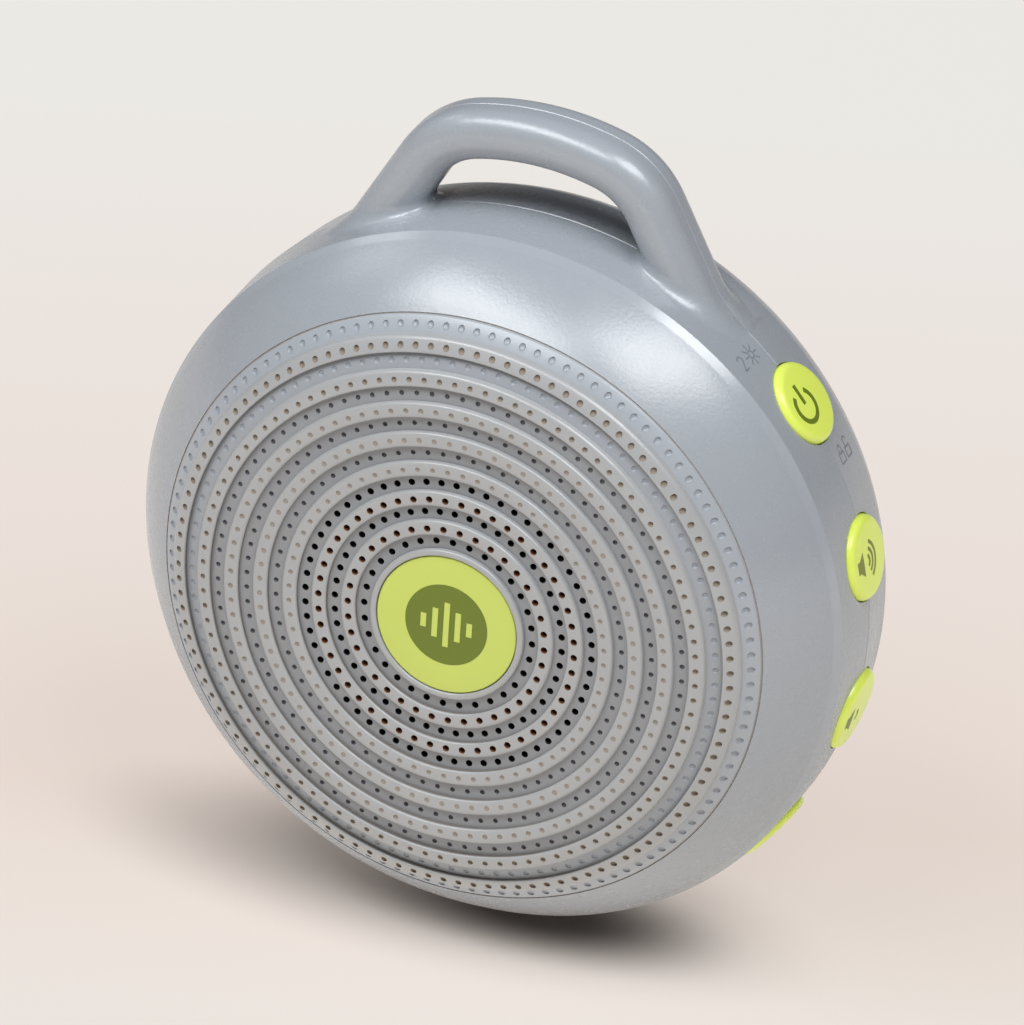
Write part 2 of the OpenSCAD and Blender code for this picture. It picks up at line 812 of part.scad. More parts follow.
module speaker_screws() {
    color([0.7, 0.71, 0.72])
    on_axis() for (a = speaker_fix_angles)
        spoke(a, speaker_fix_r)
            screw(speaker_y + basket_t, speaker_bite + basket_t, small_screw_r, small_head_r, small_head_h);
}

module wire_run(r, y0, y1) {
    for (x = [-wire_x, wire_x])
        translate([x, 0, 0]) rod_y(r, y0, y1);
}

module speaker_leads() {
    color([0.75, 0.15, 0.12])
    on_axis() translate([0, 0, -speaker_wire_r]) wire_run(wire_r, lug_y, board_y - plug_h - wire_r);
}

module speaker_connector() {
    color([0.93, 0.92, 0.88])
    on_axis() translate([0, 0, -speaker_wire_r]) rotate([0, 90, 0])
        block(-plug_d / 2, plug_d / 2, board_y - plug_h - wire_r, board_y, plug_w);
}

module light_board() {
    color([0.9, 0.9, 0.88])
    on_axis() turned() strip(light_in_r, light_out_r, light_y, seat_y);
}

module light_leds() {
    color([0.95, 0.8, 0.45])
    on_axis() for (k = [0:light_count - 1])
        spoke(k * 360 / light_count + 90) block(light_led_r - light_led_l / 2, light_led_r + light_led_l / 2,
            light_y - light_led_h, light_y, light_led_w);
}

module light_leads() {
    color([0.85, 0.6, 0.15])
    on_axis() translate([0, 0, -light_wire_r]) wire_run(thin_wire_r, seat_y, board_y);
}

module grille_screws() {
    color([0.7, 0.71, 0.72])
    on_axis() for (a = grille_fix_angles)
        spoke(a, grille_fix_r)
            screw(seat_y + seat_t, grille_bite + seat_t, small_screw_r, small_head_r, small_head_h);
}

module main_board() {
    color([0.1, 0.35, 0.2])
    on_axis() difference() {
        union() {
            rod_y(board_r, board_y, board_rear);
            spoke(180) block(board_r - tab_root, socket_out, board_y, board_rear, socket_tab);
        }
        for (a = case_fix_angles)
            spoke(a, case_fix_r) {
                rod_y(rear_boss_r + boss_notch, 0, back_y);
                block(0, board_r, 0, back_y, 2 * (rear_boss_r + boss_notch));
            }
        for (a = board_fix_angles)
            spoke(a, board_fix_r) rod_y(small_screw_r + hole_room, 0, back_y);
    }
}

module sound_chip() {
    color([0.1, 0.1, 0.11])
    on_axis() translate([chip_place[0], 0, chip_place[1]])
        block(-chip_w / 2, chip_w / 2, board_rear, board_rear + chip_t, chip_w);
}

module amplifier_chip() {
    color([0.1, 0.1, 0.11])
    on_axis() translate([amp_place[0], 0, amp_place[1]])
        block(-amp_w / 2, amp_w / 2, board_rear, board_rear + amp_t, amp_h);
}

module capacitors() {
    color([0.75, 0.76, 0.78])
    on_axis() for (p = cap_places)
        translate([p[0], 0, p[1]]) rod_y(cap_r, board_rear, board_rear + cap_h);
}

module board_screws() {
    color([0.7, 0.71, 0.72])
    on_axis() for (a = board_fix_angles)
        spoke(a, board_fix_r) mirror([0, 1, 0])
            screw(-board_y, board_bite + board_t, small_screw_r, small_head_r, small_head_h);
}

module battery_cell() {
    color([0.55, 0.6, 0.68])
    on_axis() translate([0, battery_y + battery_t / 2, 0]) linear_extrude(battery_h, center = true)
        rounded(battery_w, battery_t, battery_round);
}

module battery_pad() {
    color([0.2, 0.2, 0.2])
    on_axis() block(pad_rim - battery_w / 2, battery_w / 2 - pad_rim, pad_y, back_y - wall,
        battery_h - 2 * pad_rim);
}

module battery_connector() {
    color([0.93, 0.92, 0.88])
    on_axis() translate([0, 0, plug_z]) rotate([0, 90, 0])
        block(-plug_d / 2, plug_d / 2, board_rear, board_rear + plug_h, plug_w);
}

// Two leads out of the foot of the cell, round one bend and forward into the connector
module battery_leads() {
    color([0.75, 0.15, 0.12])
    on_axis() for (x = [-wire_x, wire_x]) {
        translate([x, lead_y, plug_z + wire_bend])
            cylinder(h = battery_end - plug_z - wire_bend, r = wire_r);
        translate([x, lead_y - wire_bend, plug_z + wire_bend]) rotate([90, 0, 90]) rotate([0, 0, 270])
            rotate_extrude(angle = 90) translate([wire_bend, 0]) circle(wire_r);
        translate([x, 0, plug_z]) rod_y(wire_r, board_rear + plug_h, lead_y - wire_bend);
    }
}

module charging_socket() {
    color([0.78, 0.79, 0.8])
    on_axis() spoke(180) difference() {
        block(socket_out - socket_l, socket_out, board_rear, board_rear + socket_h, socket_w);
        block(socket_out - socket_l + socket_wall, socket_out + overrun, board_rear + socket_wall,
            board_rear + socket_h - socket_wall, socket_w - 2 * socket_wall);
    }
}

module socket_tongue() {
    color([0.1, 0.1, 0.1])
    on_axis() spoke(180) translate([0, board_rear + socket_h / 2, 0])
        block(socket_out - socket_l + socket_wall, socket_out - tongue_short, -tongue_t / 2, tongue_t / 2,
            tongue_w);
}

module charge_led() {
    color([0.95, 0.95, 0.85])
    on_axis() spoke(led_angle) block(led_in, led_in + led_l, board_rear, pipe_y + led_w / 2, led_w);
}

module charge_light_pipe() {
    color([0.9, 0.93, 0.95])
    on_axis() spoke(led_angle, 0, pipe_y) {
        rod_x(pipe_r, pipe_in, pipe_out);
        rod_x(pipe_collar_r, pipe_collar_out - pipe_collar_t, pipe_collar_out);
    }
}

// A button, turned about its own line of travel
module button(k) {
    shoulder = button_top - button_sag - button_edge;
    color([0.84, 0.94, 0.27])
    on_axis() spoke(button_angles[k]) rotate([0, 90, 0]) rotate_extrude() {
        intersection() {
            union() {
                strip(0, button_r, flange_top, shoulder);
                strip(0, button_r - button_edge, flange_top, button_top);
                translate([button_r - button_edge, shoulder]) circle(button_edge);
            }
            translate([0, button_top - button_crown_r]) circle(button_crown_r);
            strip(0, button_r, flange_top, button_top);
        }
        strip(0, flange_r, flange_top - flange_t, flange_top);
        strip(0, stem_r, stem_end, flange_top);
    }
}

module power_button() {
    button(0);
}

module volume_up_button() {
    button(1);
}

module volume_down_button() {
    button(2);
}

module sound_button() {
    button(3);
}

// A side-push switch behind a button, with a slot for its plunger
module switch_body(k) {
    color([0.15, 0.15, 0.16])
    on_axis() spoke(button_angles[k]) difference() {
        block(switch_back, switch_front, -switch_top, board_y, switch_w);
        block(pocket_end, switch_front + overrun, -plunger_h / 2 - plunger_gap, plunger_h / 2 + plunger_gap,
            plunger_w + 2 * plunger_gap);
    }
}

module plunger(k) {
    color([0.9, 0.9, 0.9])
    on_axis() spoke(button_angles[k])
        block(plunger_tail, stem_end, -plunger_h / 2, plunger_h / 2, plunger_w);
}

module power_switch() {
    switch_body(0);
}

module volume_up_switch() {
    switch_body(1);
}

module volume_down_switch() {
    switch_body(2);
}

module sound_switch() {
    switch_body(3);
}

module power_plunger() {
    plunger(0);
}

module volume_up_plunger() {
    plunger(1);
}

module volume_down_plunger() {
    plunger(2);
}

module sound_plunger() {
    plunger(3);
}

module case_screws() {
    color([0.7, 0.71, 0.72])
    on_axis() for (a = case_fix_angles)
        spoke(a, case_fix_r)
            screw(recess_floor, recess_floor + screw_bite, screw_r, screw_head_r, screw_head_h);
}

module rubber_foot() {
    color([0.2, 0.2, 0.21])
    on_axis() translate([0, foot_y, -axis_h]) linear_extrude(axis_h - foot_floor) foot_outline(0);
}

front_shell();
rear_shell();
grille_plate();
grille_rings();
hub_rim();
centre_disc();
acoustic_cloth();
speaker_gasket();
speaker_basket();
speaker_surround();
speaker_cone();
dust_cap();
speaker_spider();
voice_coil();
top_plate();
speaker_magnet();
speaker_yoke();
speaker_screws();
speaker_leads();
speaker_connector();
light_board();
light_leds();
light_leads();
grille_screws();
main_board();
sound_chip();
amplifier_chip();
capacitors();
board_screws();
battery_cell();
battery_pad();
battery_connector();
battery_leads();
charging_socket();
socket_tongue();
charge_led();
charge_light_pipe();
power_button();
volume_up_button();
volume_down_button();
sound_button();
power_switch();
volume_up_switch();
volume_down_switch();
sound_switch();
power_plunger();
volume_up_plunger();
volume_down_plunger();
sound_plunger();
case_screws();
rubber_foot();
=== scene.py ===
# White noise sound machine: the casing, grille, buttons and printed symbols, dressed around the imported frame.
# Sizes are in millimetres, measured from the casing's own axis, and become metres when a piece is finished.

from math import asin, atan2, cos, hypot, pi, radians, sin, sqrt

import bmesh
import bpy
from mathutils import Matrix, Vector
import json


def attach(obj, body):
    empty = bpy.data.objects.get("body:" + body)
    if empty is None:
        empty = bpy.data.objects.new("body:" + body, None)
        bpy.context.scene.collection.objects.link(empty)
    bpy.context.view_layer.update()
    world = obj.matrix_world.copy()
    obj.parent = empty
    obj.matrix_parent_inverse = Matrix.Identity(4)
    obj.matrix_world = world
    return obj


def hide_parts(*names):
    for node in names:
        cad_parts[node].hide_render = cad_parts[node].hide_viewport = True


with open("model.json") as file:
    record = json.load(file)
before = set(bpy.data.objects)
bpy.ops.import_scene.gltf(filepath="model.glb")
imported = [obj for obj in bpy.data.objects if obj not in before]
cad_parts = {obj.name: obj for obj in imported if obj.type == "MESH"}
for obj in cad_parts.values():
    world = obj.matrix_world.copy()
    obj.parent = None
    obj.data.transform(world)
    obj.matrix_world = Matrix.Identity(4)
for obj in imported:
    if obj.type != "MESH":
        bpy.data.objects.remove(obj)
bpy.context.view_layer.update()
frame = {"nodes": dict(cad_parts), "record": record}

# ---- Casing sizes
MM = 0.001
MERGE = 0.0005
AXIS_HEIGHT = 44.35
CASE_R = 44.5
FRONT_CREASE = (44.2, -8.25)
REAR_CREASE = (43.8, 7.0)
FACET_TURN = radians(57.5)
FACET_BACK = 1.1
FACET_WIDTH = 1.12
FACET_ROUND = 0.3
# Where the facet lies: radius, depth, and the depth part of its normal
FACET_PLACE = ((43.66, 44.45), (-9.4, -8.1), (-0.58, -0.02))
FRONT_SLOPE = 0.02
REAR_SLOPE = 0.1
WALL = 2.0
BACK_Y = 16.5
BACK_FLAT_R = 31.0
PARTING_GAP = 0.01
PARTING_CHAMFER = 0.11
TURN_STEPS = 288

# ---- Screws and openings of the casing
CASE_SCREW_ANGLES = [radians(a) for a in (60, 120, 240, 300)]
CASE_SCREW_OUT = 35
SCREW_SHAFT_R, SCREW_HEAD_R, SCREW_SEAT_Y = 1.2, 2.4, 5
RECESS_START_Y, RECESS_END_Y = -1, 18
BOSS_R, BOSS_FOOT_Y, BOSS_LEAN = 3.2, 0.02, 0.45
SOCKET_SIZE, SOCKET_PLACE, SOCKET_ROUND = (8, 3.6, 9.3), (-44, 4.55, 0), 1.2
PIPE_R, PIPE_ANGLE, PIPE_Y = 0.96, radians(165), 4.4
PIPE_CUT = (40, 47)
FOOT_SIZE, FOOT_PLACE, FOOT_ROUND = (15.3, 11.3, 1.2), (0, -1, -44.09), 1.5
FLAT_SIZE, FLAT_PLACE = (90, 90, 2), (0, 0, -45.05)

# ---- Grille sizes
FACE_Y = -21.0
GRILLE_R = 37.8
GRILLE_FLAT_R = 27.0
GRILLE_CURVE_R = 16.0
GRILLE_T = 1.8
SEAM_GAP = 0.15
SEAM_ROUND = 0.12
SEAM_LIP_DEPTH, SEAM_LIP_WIDTH = 0.07, 0.06
SKIRT_IN_R = 34.95
SKIRT_GAP = 0.03
SEAT_IN_R = 31.5
SEAT_Y = -12.56
ROWS = 15
ROW_PITCH = 28.1 / ROWS
ROW_OVERLAP = 0.02
RING_RELIEF = 0.69
RING_OUTER_ROUND = 0.42
RING_INNER_ROUND = 0.28
HUB_IN_R = 8.92
HUB_OUT_R = 9.7
HUB_TOP_Y = -21.69
HUB_WELL_Y = -20
HUB_INNER_ROUND = 0.2
HUB_OUTER_ROUND = 0.34
HUB_SUNK = 0.03
HUB_WELL_GAP = 0.1
DISC_R = 8.8
DISC_Y = -21.5
DISC_BACK_Y = -20.03
DISC_ROUND = 0.15
POST_ANGLES = [radians(a) for a in (45, 135, 225, 315)]
POST_R, POST_OUT, POST_ROOT, POST_END_Y = 2.2, 29, 0.4, -17.7
# Each row from the seam inwards: how many holes, their radius, and their depth, or None where they are open
HOLE_ROWS = [(120, 0.42, 0.22), (114, 0.39, 0.34), (108, 0.38, 0.20), (102, 0.34, 0.30), (96, 0.31, 0.30),
             (90, 0.34, 0.14), (84, 0.31, 0.34), (78, 0.34, 0.06), (72, 0.31, 0.34), (66, 0.32, 0.13),
             (60, 0.42, None), (50, 0.42, None), (48, 0.42, None), (38, 0.42, None), (32, 0.42, None)]
# A dimple's bowl from its rim to its floor, in shares of its radius and depth
DIMPLE_BOWL = ((0.96, 0.14), (0.82, 0.6), (0.5, 0.92))
# Places in the lists of finishes of the grille's two pieces. DIMPLE, TUNNEL, RING_SIDE and SKIRT take painted
# shade, TUNNEL in the raised rings painted warm light as well; SEAM_ROW and OUTER_ROW take painted light;
# PALE_DIMPLE is painted light in the plate and fainter painted shade in the rings
SURFACE, DIMPLE, TUNNEL, RING_SIDE, PALE_DIMPLE, SKIRT, SEAM_ROW, OUTER_ROW = range(8)
# Rows whose surface or dimples take a finish other than the usual one: the outer rows 1 and 3 painted lighter,
# surface and dimples, as painted light; the dimples of raised rows 6, 8 and 10 with fainter painted shade
ROW_FINISHES = {1: {SURFACE: SEAM_ROW, DIMPLE: PALE_DIMPLE}, 3: {SURFACE: OUTER_ROW, DIMPLE: PALE_DIMPLE},
                6: {DIMPLE: PALE_DIMPLE}, 8: {DIMPLE: PALE_DIMPLE}, 10: {DIMPLE: PALE_DIMPLE}}

# ---- Handle sizes
HANDLE_HALF_T = 3.1
HANDLE_HALF_Y = 4.1
HANDLE_ROUND = 2.8
TOP_ARC_Z = 22.5
TOP_ARC_R = 31.9
TOP_ARC_SWEEP = radians(15)
SHOULDER_ARC_R = 9.9
SHOULDER_ARC_SWEEP = radians(46)
LEG_FILLET = 1.6
LEG_FILLET_TURNS = [radians(k * 8.4) for k in range(11)]
LEG_SUNK = 0.6

# ---- Button sizes
BUTTON_NAMES = ["power", "volume_up", "volume_down", "sound"]
BUTTON_ANGLES = [radians(a) for a in (39.45, 13.15, -13.15, -39.45)]
BUTTON_R = 5.1
BUTTON_GAP = 0.2
BUTTON_CUT = (40.0, 48.0)
BUTTON_TOP = 45.25
BUTTON_CROWN_R = 60.0
BUTTON_EDGE = 0.95
FLANGE_R, FLANGE_TOP, FLANGE_FOOT = 6.0, 41.71, 40.81
STEM_R, STEM_FOOT = 2.5, 37.81

# ---- Printed signs
PRINT_T = 0.03
PRINT_SUNK = 0.01
BUTTON_PRINT_SHIFT = 1.2
PATCH_MIDDLE_R, PATCH_WIDTH = 2.6, 5.19
BARS_RISE = 0.025
BAR_PITCH = 1.45
BAR_REACHES = (0.9, 1.9, 2.9, 1.9, 0.9)

seam_turn = asin((GRILLE_R - GRILLE_FLAT_R) / GRILLE_CURVE_R)
dome_centre = Vector((GRILLE_FLAT_R, FACE_Y + GRILLE_CURVE_R))
seam_point = dome_centre + GRILLE_CURVE_R * Vector((sin(seam_turn), -cos(seam_turn)))


def in_scene(name, data):
    made = bpy.data.objects.new(name, data)
    bpy.context.scene.collection.objects.link(made)
    return made


# ---- Camera, at the photograph's viewing angle
LENS_MM = 452.5
VIEW_AZIMUTH, VIEW_ELEVATION, VIEW_ROLL = radians(21.0), radians(28.24), radians(3.77)
VIEW_AIM = Vector((3.904, -12.732, 11.76 + AXIS_HEIGHT)) * MM
VIEW_AWAY = 1.5


def set_camera():
    camera = bpy.data.cameras.new("photo_camera")
    camera.lens = LENS_MM
    camera.sensor_fit = "HORIZONTAL"
    camera.sensor_width = 36
    camera.clip_start, camera.clip_end = 0.05, 20
    seen = in_scene("photo_camera", camera)
    turn = Matrix.Rotation(VIEW_AZIMUTH, 4, "Z") @ Matrix.Rotation(pi / 2 - VIEW_ELEVATION, 4, "X")
    turn = turn @ Matrix.Rotation(VIEW_ROLL, 4, "Z")
    seen.matrix_world = Matrix.Translation(VIEW_AIM + turn.col[2].xyz * VIEW_AWAY) @ turn
    bpy.context.scene.camera = seen


# ---- Lights and floor
# Each lamp's place and size in metres, its power in watts, and its colour
SOFTBOXES = {"left_softbox": ((-0.33, -0.53, 1.0), (0.92, 0.36), 8.3, (0.955, 0.98, 1.0)),
             "right_softbox": ((0.50, -0.31, 1.03), (0.70, 0.44), 8.0, (0.95, 0.975, 1.0)),
             "side_softbox": ((-0.85, 0.08, 0.80), (0.30, 0.30), 0.6, (0.96, 0.98, 1.0))}
WALLS_IN_GLOSS = 0.05


def softbox(name, place, size, power, colour):
    """A lamp the size of a softbox, aimed at the middle of the casing."""
    lamp = bpy.data.lights.new(name, "AREA")
    lamp.shape = "RECTANGLE"
    lamp.size, lamp.size_y = size
    lamp.energy = power
    lamp.color = colour
    box = in_scene(name, lamp)
    aim = Vector((0, 0, AXIS_HEIGHT * MM)) - Vector(place)
    box.matrix_world = Matrix.Translation(place) @ aim.to_track_quat("-Z", "Y").to_matrix().to_4x4()


def light_studio():
    bpy.context.scene.view_settings.view_transform = "Standard"
    for name, values in SOFTBOXES.items():
        softbox(name, *values)
    bpy.context.scene.world = pale_surroundings()


def pale_surroundings():
    """Pale walls that the camera sees, and gloss and glass faintly, but that give no light."""
    world = bpy.data.worlds.new("studio")
    world.use_nodes = True
    nodes, links = world.node_tree.nodes, world.node_tree.links
    walls = nodes["Background"]
    walls.inputs["Color"].default_value = (*srgb(235, 232, 227), 1)
    rays = nodes.new("ShaderNodeLightPath")
    mirrored = nodes.new("ShaderNodeMath")
    mirrored.operation = "MAXIMUM"
    links.new(rays.outputs["Is Glossy Ray"], mirrored.inputs[0])
    links.new(rays.outputs["Is Transmission Ray"], mirrored.inputs[1])
    seen = nodes.new("ShaderNodeMath")
    seen.operation = "MULTIPLY_ADD"
    seen.inputs[1].default_value = WALLS_IN_GLOSS
    links.new(mirrored.outputs["Value"], seen.inputs[0])
    links.new(rays.outputs["Is Camera Ray"], seen.inputs[2])
    links.new(seen.outputs["Value"], walls.inputs["Strength"])
    return world


def lay_floor():
    bm = bmesh.new()
    bmesh.ops.create_grid(bm, x_segments=1, y_segments=1, size=6)
    mesh = bpy.data.meshes.new("studio_floor")
    bm.to_mesh(mesh)
    bm.free()
    mesh.materials.append(studio_paper().material)
    floor = in_scene("studio_floor", mesh)


# ---- Finishes
def srgb(r, g, b):
    """A colour read as 0 to 255, as the linear light that a shader takes."""
    return tuple(((c / 255 + 0.055) / 1.055) ** 2.4 if c > 10 else c / 255 / 12.92 for c in (r, g, b))


def shaded(colour, share):
    return tuple(c * share for c in colour)


class Finish:
    """One procedural material. Patterns read Object coordinates, in metres."""

    def __init__(self, name, colour, roughness, metallic=0.0, coat=0.0, specular=0.5):
        self.material = bpy.data.materials.new(name)
        self.material.use_nodes = True
        self.tree = self.material.node_tree
        self.shader = self.tree.nodes["Principled BSDF"]
        self.colour, self.roughness = colour, roughness
        self.place = self.node("ShaderNodeTexCoord").outputs["Object"]
        self.set({"Base Color": colour, "Roughness": roughness, "Metallic": metallic,
                  "Specular IOR Level": specular, "Coat Weight": coat})

    def node(self, kind, inputs=None, **values):
        made = self.tree.nodes.new(kind)
        for name, value in values.items():
            setattr(made, name, value)
        self.feed(made, inputs or {})
        return made

    def feed(self, node, inputs):
        """Links each input to the output that is given for it, or fixes it at the value that is given."""
        for name, value in inputs.items():
            if isinstance(value, bpy.types.NodeSocket):
                self.tree.links.new(value, node.inputs[name])
            else:
                is_colour = node.inputs[name].type == "RGBA"
                node.inputs[name].default_value = (*value, 1) if is_colour else value

    def set(self, inputs):
        self.feed(self.shader, inputs)

    def noise(self, scale, detail=2.0, roughness=0.5, stretch=None):
        speckle = self.node("ShaderNodeTexNoise", {"Scale": scale, "Detail": detail, "Roughness": roughness,
                                                   "Vector": self.stretched(stretch)})
        return speckle.outputs["Fac"]

    def cells(self, scale):
        return self.node("ShaderNodeTexVoronoi", {"Scale": scale, "Vector": self.place}).outputs["Distance"]

    def bands(self, direction, scale, distortion=0.0):
        wave = self.node("ShaderNodeTexWave", {"Scale": scale, "Distortion": distortion, "Vector": self.place},
                         wave_type="BANDS", bands_direction=direction)
        return wave.outputs["Fac"]

    def stretched(self, stretch):
        if stretch is None:
            return self.place
        return self.node("ShaderNodeMapping", {"Scale": stretch, "Vector": self.place}).outputs["Vector"]

    def spread(self, source, low, high):
        """Turns a pattern that runs from 0 to 1 into one that runs from low to high."""
        span = self.node("ShaderNodeMapRange", {"To Min": low, "To Max": high, "Value": source})
        return span.outputs["Result"]

    def mixed(self, factor, first, second):
        return self.node("ShaderNodeMix", {"Factor": factor, 6: first, 7: second}, data_type="RGBA").outputs[2]

    def product(self, first, second):
        return self.node("ShaderNodeMath", {0: first, 1: second}, operation="MULTIPLY").outputs["Value"]

    def paint(self, colour):
        self.set({"Base Color": colour})

    def vary_colour(self, scale, amount, stretch=None):
        """Lightens and darkens the colour a little, in soft patches."""
        light = tuple(min(1, c) for c in shaded(self.colour, 1 + amount))
        self.paint(self.mixed(self.noise(scale, 3, 0.6, stretch), shaded(self.colour, 1 - amount), light))

    def vary_gloss(self, scale, amount):
        self.set({"Roughness": self.spread(self.noise(scale, 3), self.roughness - amount,
                                           self.roughness + amount)})

    def raise_grain(self, pattern, depth_mm):
        """Makes relief of that depth."""
        bump = self.node("ShaderNodeBump", {"Distance": depth_mm * MM, "Height": pattern})
        self.set({"Normal": bump.outputs["Normal"]})


def moulded_plastic(name, colour, roughness, grain=0.012, grain_scale=2600, specular=0.5, coat=0.0):
    """Satin injection-moulded plastic with a fine orange peel."""
    plastic = Finish(name, colour, roughness, coat=coat, specular=specular)
    plastic.vary_colour(90, 0.02)
    plastic.vary_gloss(450, 0.04)
    plastic.raise_grain(plastic.noise(grain_scale, 2, 0.55), grain)
    return plastic


def plastic_with_painted_light(name, colour, painted_glow):
    """Bright plastic with a painted glow: emission in place of the light that enters the translucent plastic
    and leaves again.
    """
    plastic = moulded_plastic(name, colour, 0.3, 0.008, 2000, coat=0.15)
    plastic.set({"Emission Color": colour, "Emission Strength": painted_glow})
    return plastic


def drawn_metal(name, colour, roughness, scratch=(60, 3000, 60)):
    """Metal with fine marks from its making."""
    metal = Finish(name, colour, roughness, metallic=1.0)
    metal.vary_colour(700, 0.08)
    metal.vary_gloss(1500, 0.08)
    metal.raise_grain(metal.noise(1, 3, 0.6, scratch), 0.006)
    return metal


def woven_cloth(name, colour, thread_mm):
    """Plain weave: two sets of threads crossing."""
    cloth = Finish(name, colour, 0.95)
    scale = 1 / (thread_mm * MM) / 6.3
    weave = cloth.node("ShaderNodeMath", {0: cloth.bands("X", scale, 0.4), 1: cloth.bands("Z", scale, 0.4)},
                       operation="MAXIMUM").outputs["Value"]
    cloth.paint(cloth.mixed(weave, shaded(colour, 0.35), colour))
    cloth.raise_grain(weave, 0.08)
    cloth.set({"Sheen Weight": 0.2})
    return cloth


def open_foam(name, colour):
    foam = Finish(name, colour, 0.95)
    pores = foam.cells(2200)
    foam.paint(foam.mixed(pores, shaded(colour, 0.4), colour))
    foam.raise_grain(pores, 0.12)
    return foam


def pressed_paper(name, colour):
    """Speaker cone paper, with short fibres pressed flat."""
    paper = Finish(name, colour, 0.8)
    paper.vary_colour(1800, 0.25, (1, 1, 0.3))
    paper.raise_grain(paper.noise(2400, 4, 0.7, (1, 1, 0.35)), 0.03)
    return paper


def wound_wire(name, colour):
    """Fine enamelled wire, turn beside turn."""
    wire = Finish(name, colour, 0.3, metallic=0.9)
    turns = wire.bands("Y", 900)
    wire.paint(wire.mixed(turns, shaded(colour, 0.45), colour))
    wire.raise_grain(turns, 0.05)
    return wire


def board_laminate(name, colour, trace):
    """Circuit board: solder mask over copper tracks, with bare pads."""
    board = Finish(name, colour, 0.35, coat=0.3)
    routes = board.node("ShaderNodeTexBrick", {
        "Scale": 320, "Mortar Size": 0.06, "Color1": colour, "Color2": shaded(colour, 0.92),
        "Mortar": trace, "Vector": board.place}, offset=0.37)
    board.paint(routes.outputs["Color"])
    board.raise_grain(routes.outputs["Fac"], 0.03)
    return board


def clear_resin(name, colour, transmission):
    resin = Finish(name, colour, 0.15, coat=0.5)
    resin.set({"Transmission Weight": transmission, "IOR": 1.5})
    resin.vary_colour(900, 0.05)
    resin.vary_gloss(1200, 0.04)
    return resin


# The floor's tones: how far each lies from FLOOR_NEAR to FLOOR_FAR, and its colour from 0 to 255
FLOOR_TONES = [(0.0, (232, 227, 222)), (0.25, (233, 227, 221)), (0.42, (233, 219, 210)),
               (0.68, (236, 227, 221)), (0.86, (238, 235, 230)), (1.0, (239, 236, 231))]
FLOOR_NEAR, FLOOR_FAR = -0.16, 0.26
# FLOOR_WARMTH and FLOOR_BOUNCE: colour and strength of a painted glow that all rays but the camera's see in the
# floor, added bounce light for the casing's lower parts
FLOOR_WARMTH = (1.0, 0.88, 0.78)
FLOOR_LIT_SHARE = 0.22
FLOOR_BOUNCE = 0.2
FLOOR_FILL = 0.81
# Ovals of painted shadow in the floor's colour under the casing: middle and radii in mm, where the shade starts
# and ends, and what it leaves
WIDE_PAINTED_SHADOW = ((-5, -4), (42, 18), 0.25, 1.25, 0.3)
CLOSE_PAINTED_SHADOW = ((8, -6), (26, 12), 0.2, 1.1, 0.05)


def painted_shadow_oval(paper, middle, radii, near, far, least):
    """Painted shadow on the floor round the object: a level that is least in the middle of an oval, given in
    mm, and 1 outside it.
    """
    around = paper.node("ShaderNodeMapping", {
        "Scale": (1 / (radii[0] * MM), 1 / (radii[1] * MM), 0),
        "Location": (-middle[0] / radii[0], -middle[1] / radii[1], 0), "Vector": paper.place})
    reach = paper.node("ShaderNodeVectorMath", {0: around.outputs["Vector"]}, operation="LENGTH")
    painted_shadow_level = paper.node("ShaderNodeMapRange", {
        "From Min": near, "From Max": far, "To Min": least, "Value": reach.outputs["Value"]},
        interpolation_type="SMOOTHSTEP")
    return painted_shadow_level.outputs["Result"]


def floor_tones(paper):
    """The paper's colour, by how far a place is from the camera."""
    turned = paper.node("ShaderNodeMapping", {"Rotation": (0, 0, -VIEW_AZIMUTH), "Vector": paper.place})
    apart = paper.node("ShaderNodeSeparateXYZ", {"Vector": turned.outputs["Vector"]})
    away = paper.node("ShaderNodeMapRange", {
        "From Min": FLOOR_NEAR, "From Max": FLOOR_FAR, "Value": apart.outputs["Y"]})
    tones = paper.node("ShaderNodeValToRGB", {"Fac": away.outputs["Result"]})
    stops = tones.color_ramp.elements
    while len(stops) < len(FLOOR_TONES):
        stops.new(0.5)
    for stop, (spot, colour) in zip(stops, FLOOR_TONES):
        stop.position = spot
        stop.color = (*srgb(*colour), 1)
    return tones.outputs["Color"]


def studio_paper():
    """Pale paper. The camera sees it go from neutral, far off, through a warmer tone to neutral again."""
    paper = Finish("floor_paper", (0.86, 0.80, 0.74), 0.9, specular=0.0)
    tones = floor_tones(paper)
    seen = paper.node("ShaderNodeLightPath").outputs["Is Camera Ray"]
    lit = paper.node("ShaderNodeVectorMath", {0: tones, "Scale": FLOOR_LIT_SHARE}, operation="SCALE")
    paper.paint(paper.mixed(seen, paper.colour, lit.outputs["Vector"]))
    # The camera sees the floor's glow darkened by these two ovals of painted shadow round the casing's foot
    shade = paper.product(painted_shadow_oval(paper, *WIDE_PAINTED_SHADOW), painted_shadow_oval(paper, *CLOSE_PAINTED_SHADOW))
    level = paper.node("ShaderNodeMix", {
        "Factor": seen, "A": FLOOR_BOUNCE, "B": paper.product(shade, FLOOR_FILL)}, data_type="FLOAT")
    paper.set({"Emission Color": paper.mixed(seen, FLOOR_WARMTH, tones),
               "Emission Strength": level.outputs["Result"]})
    return paper


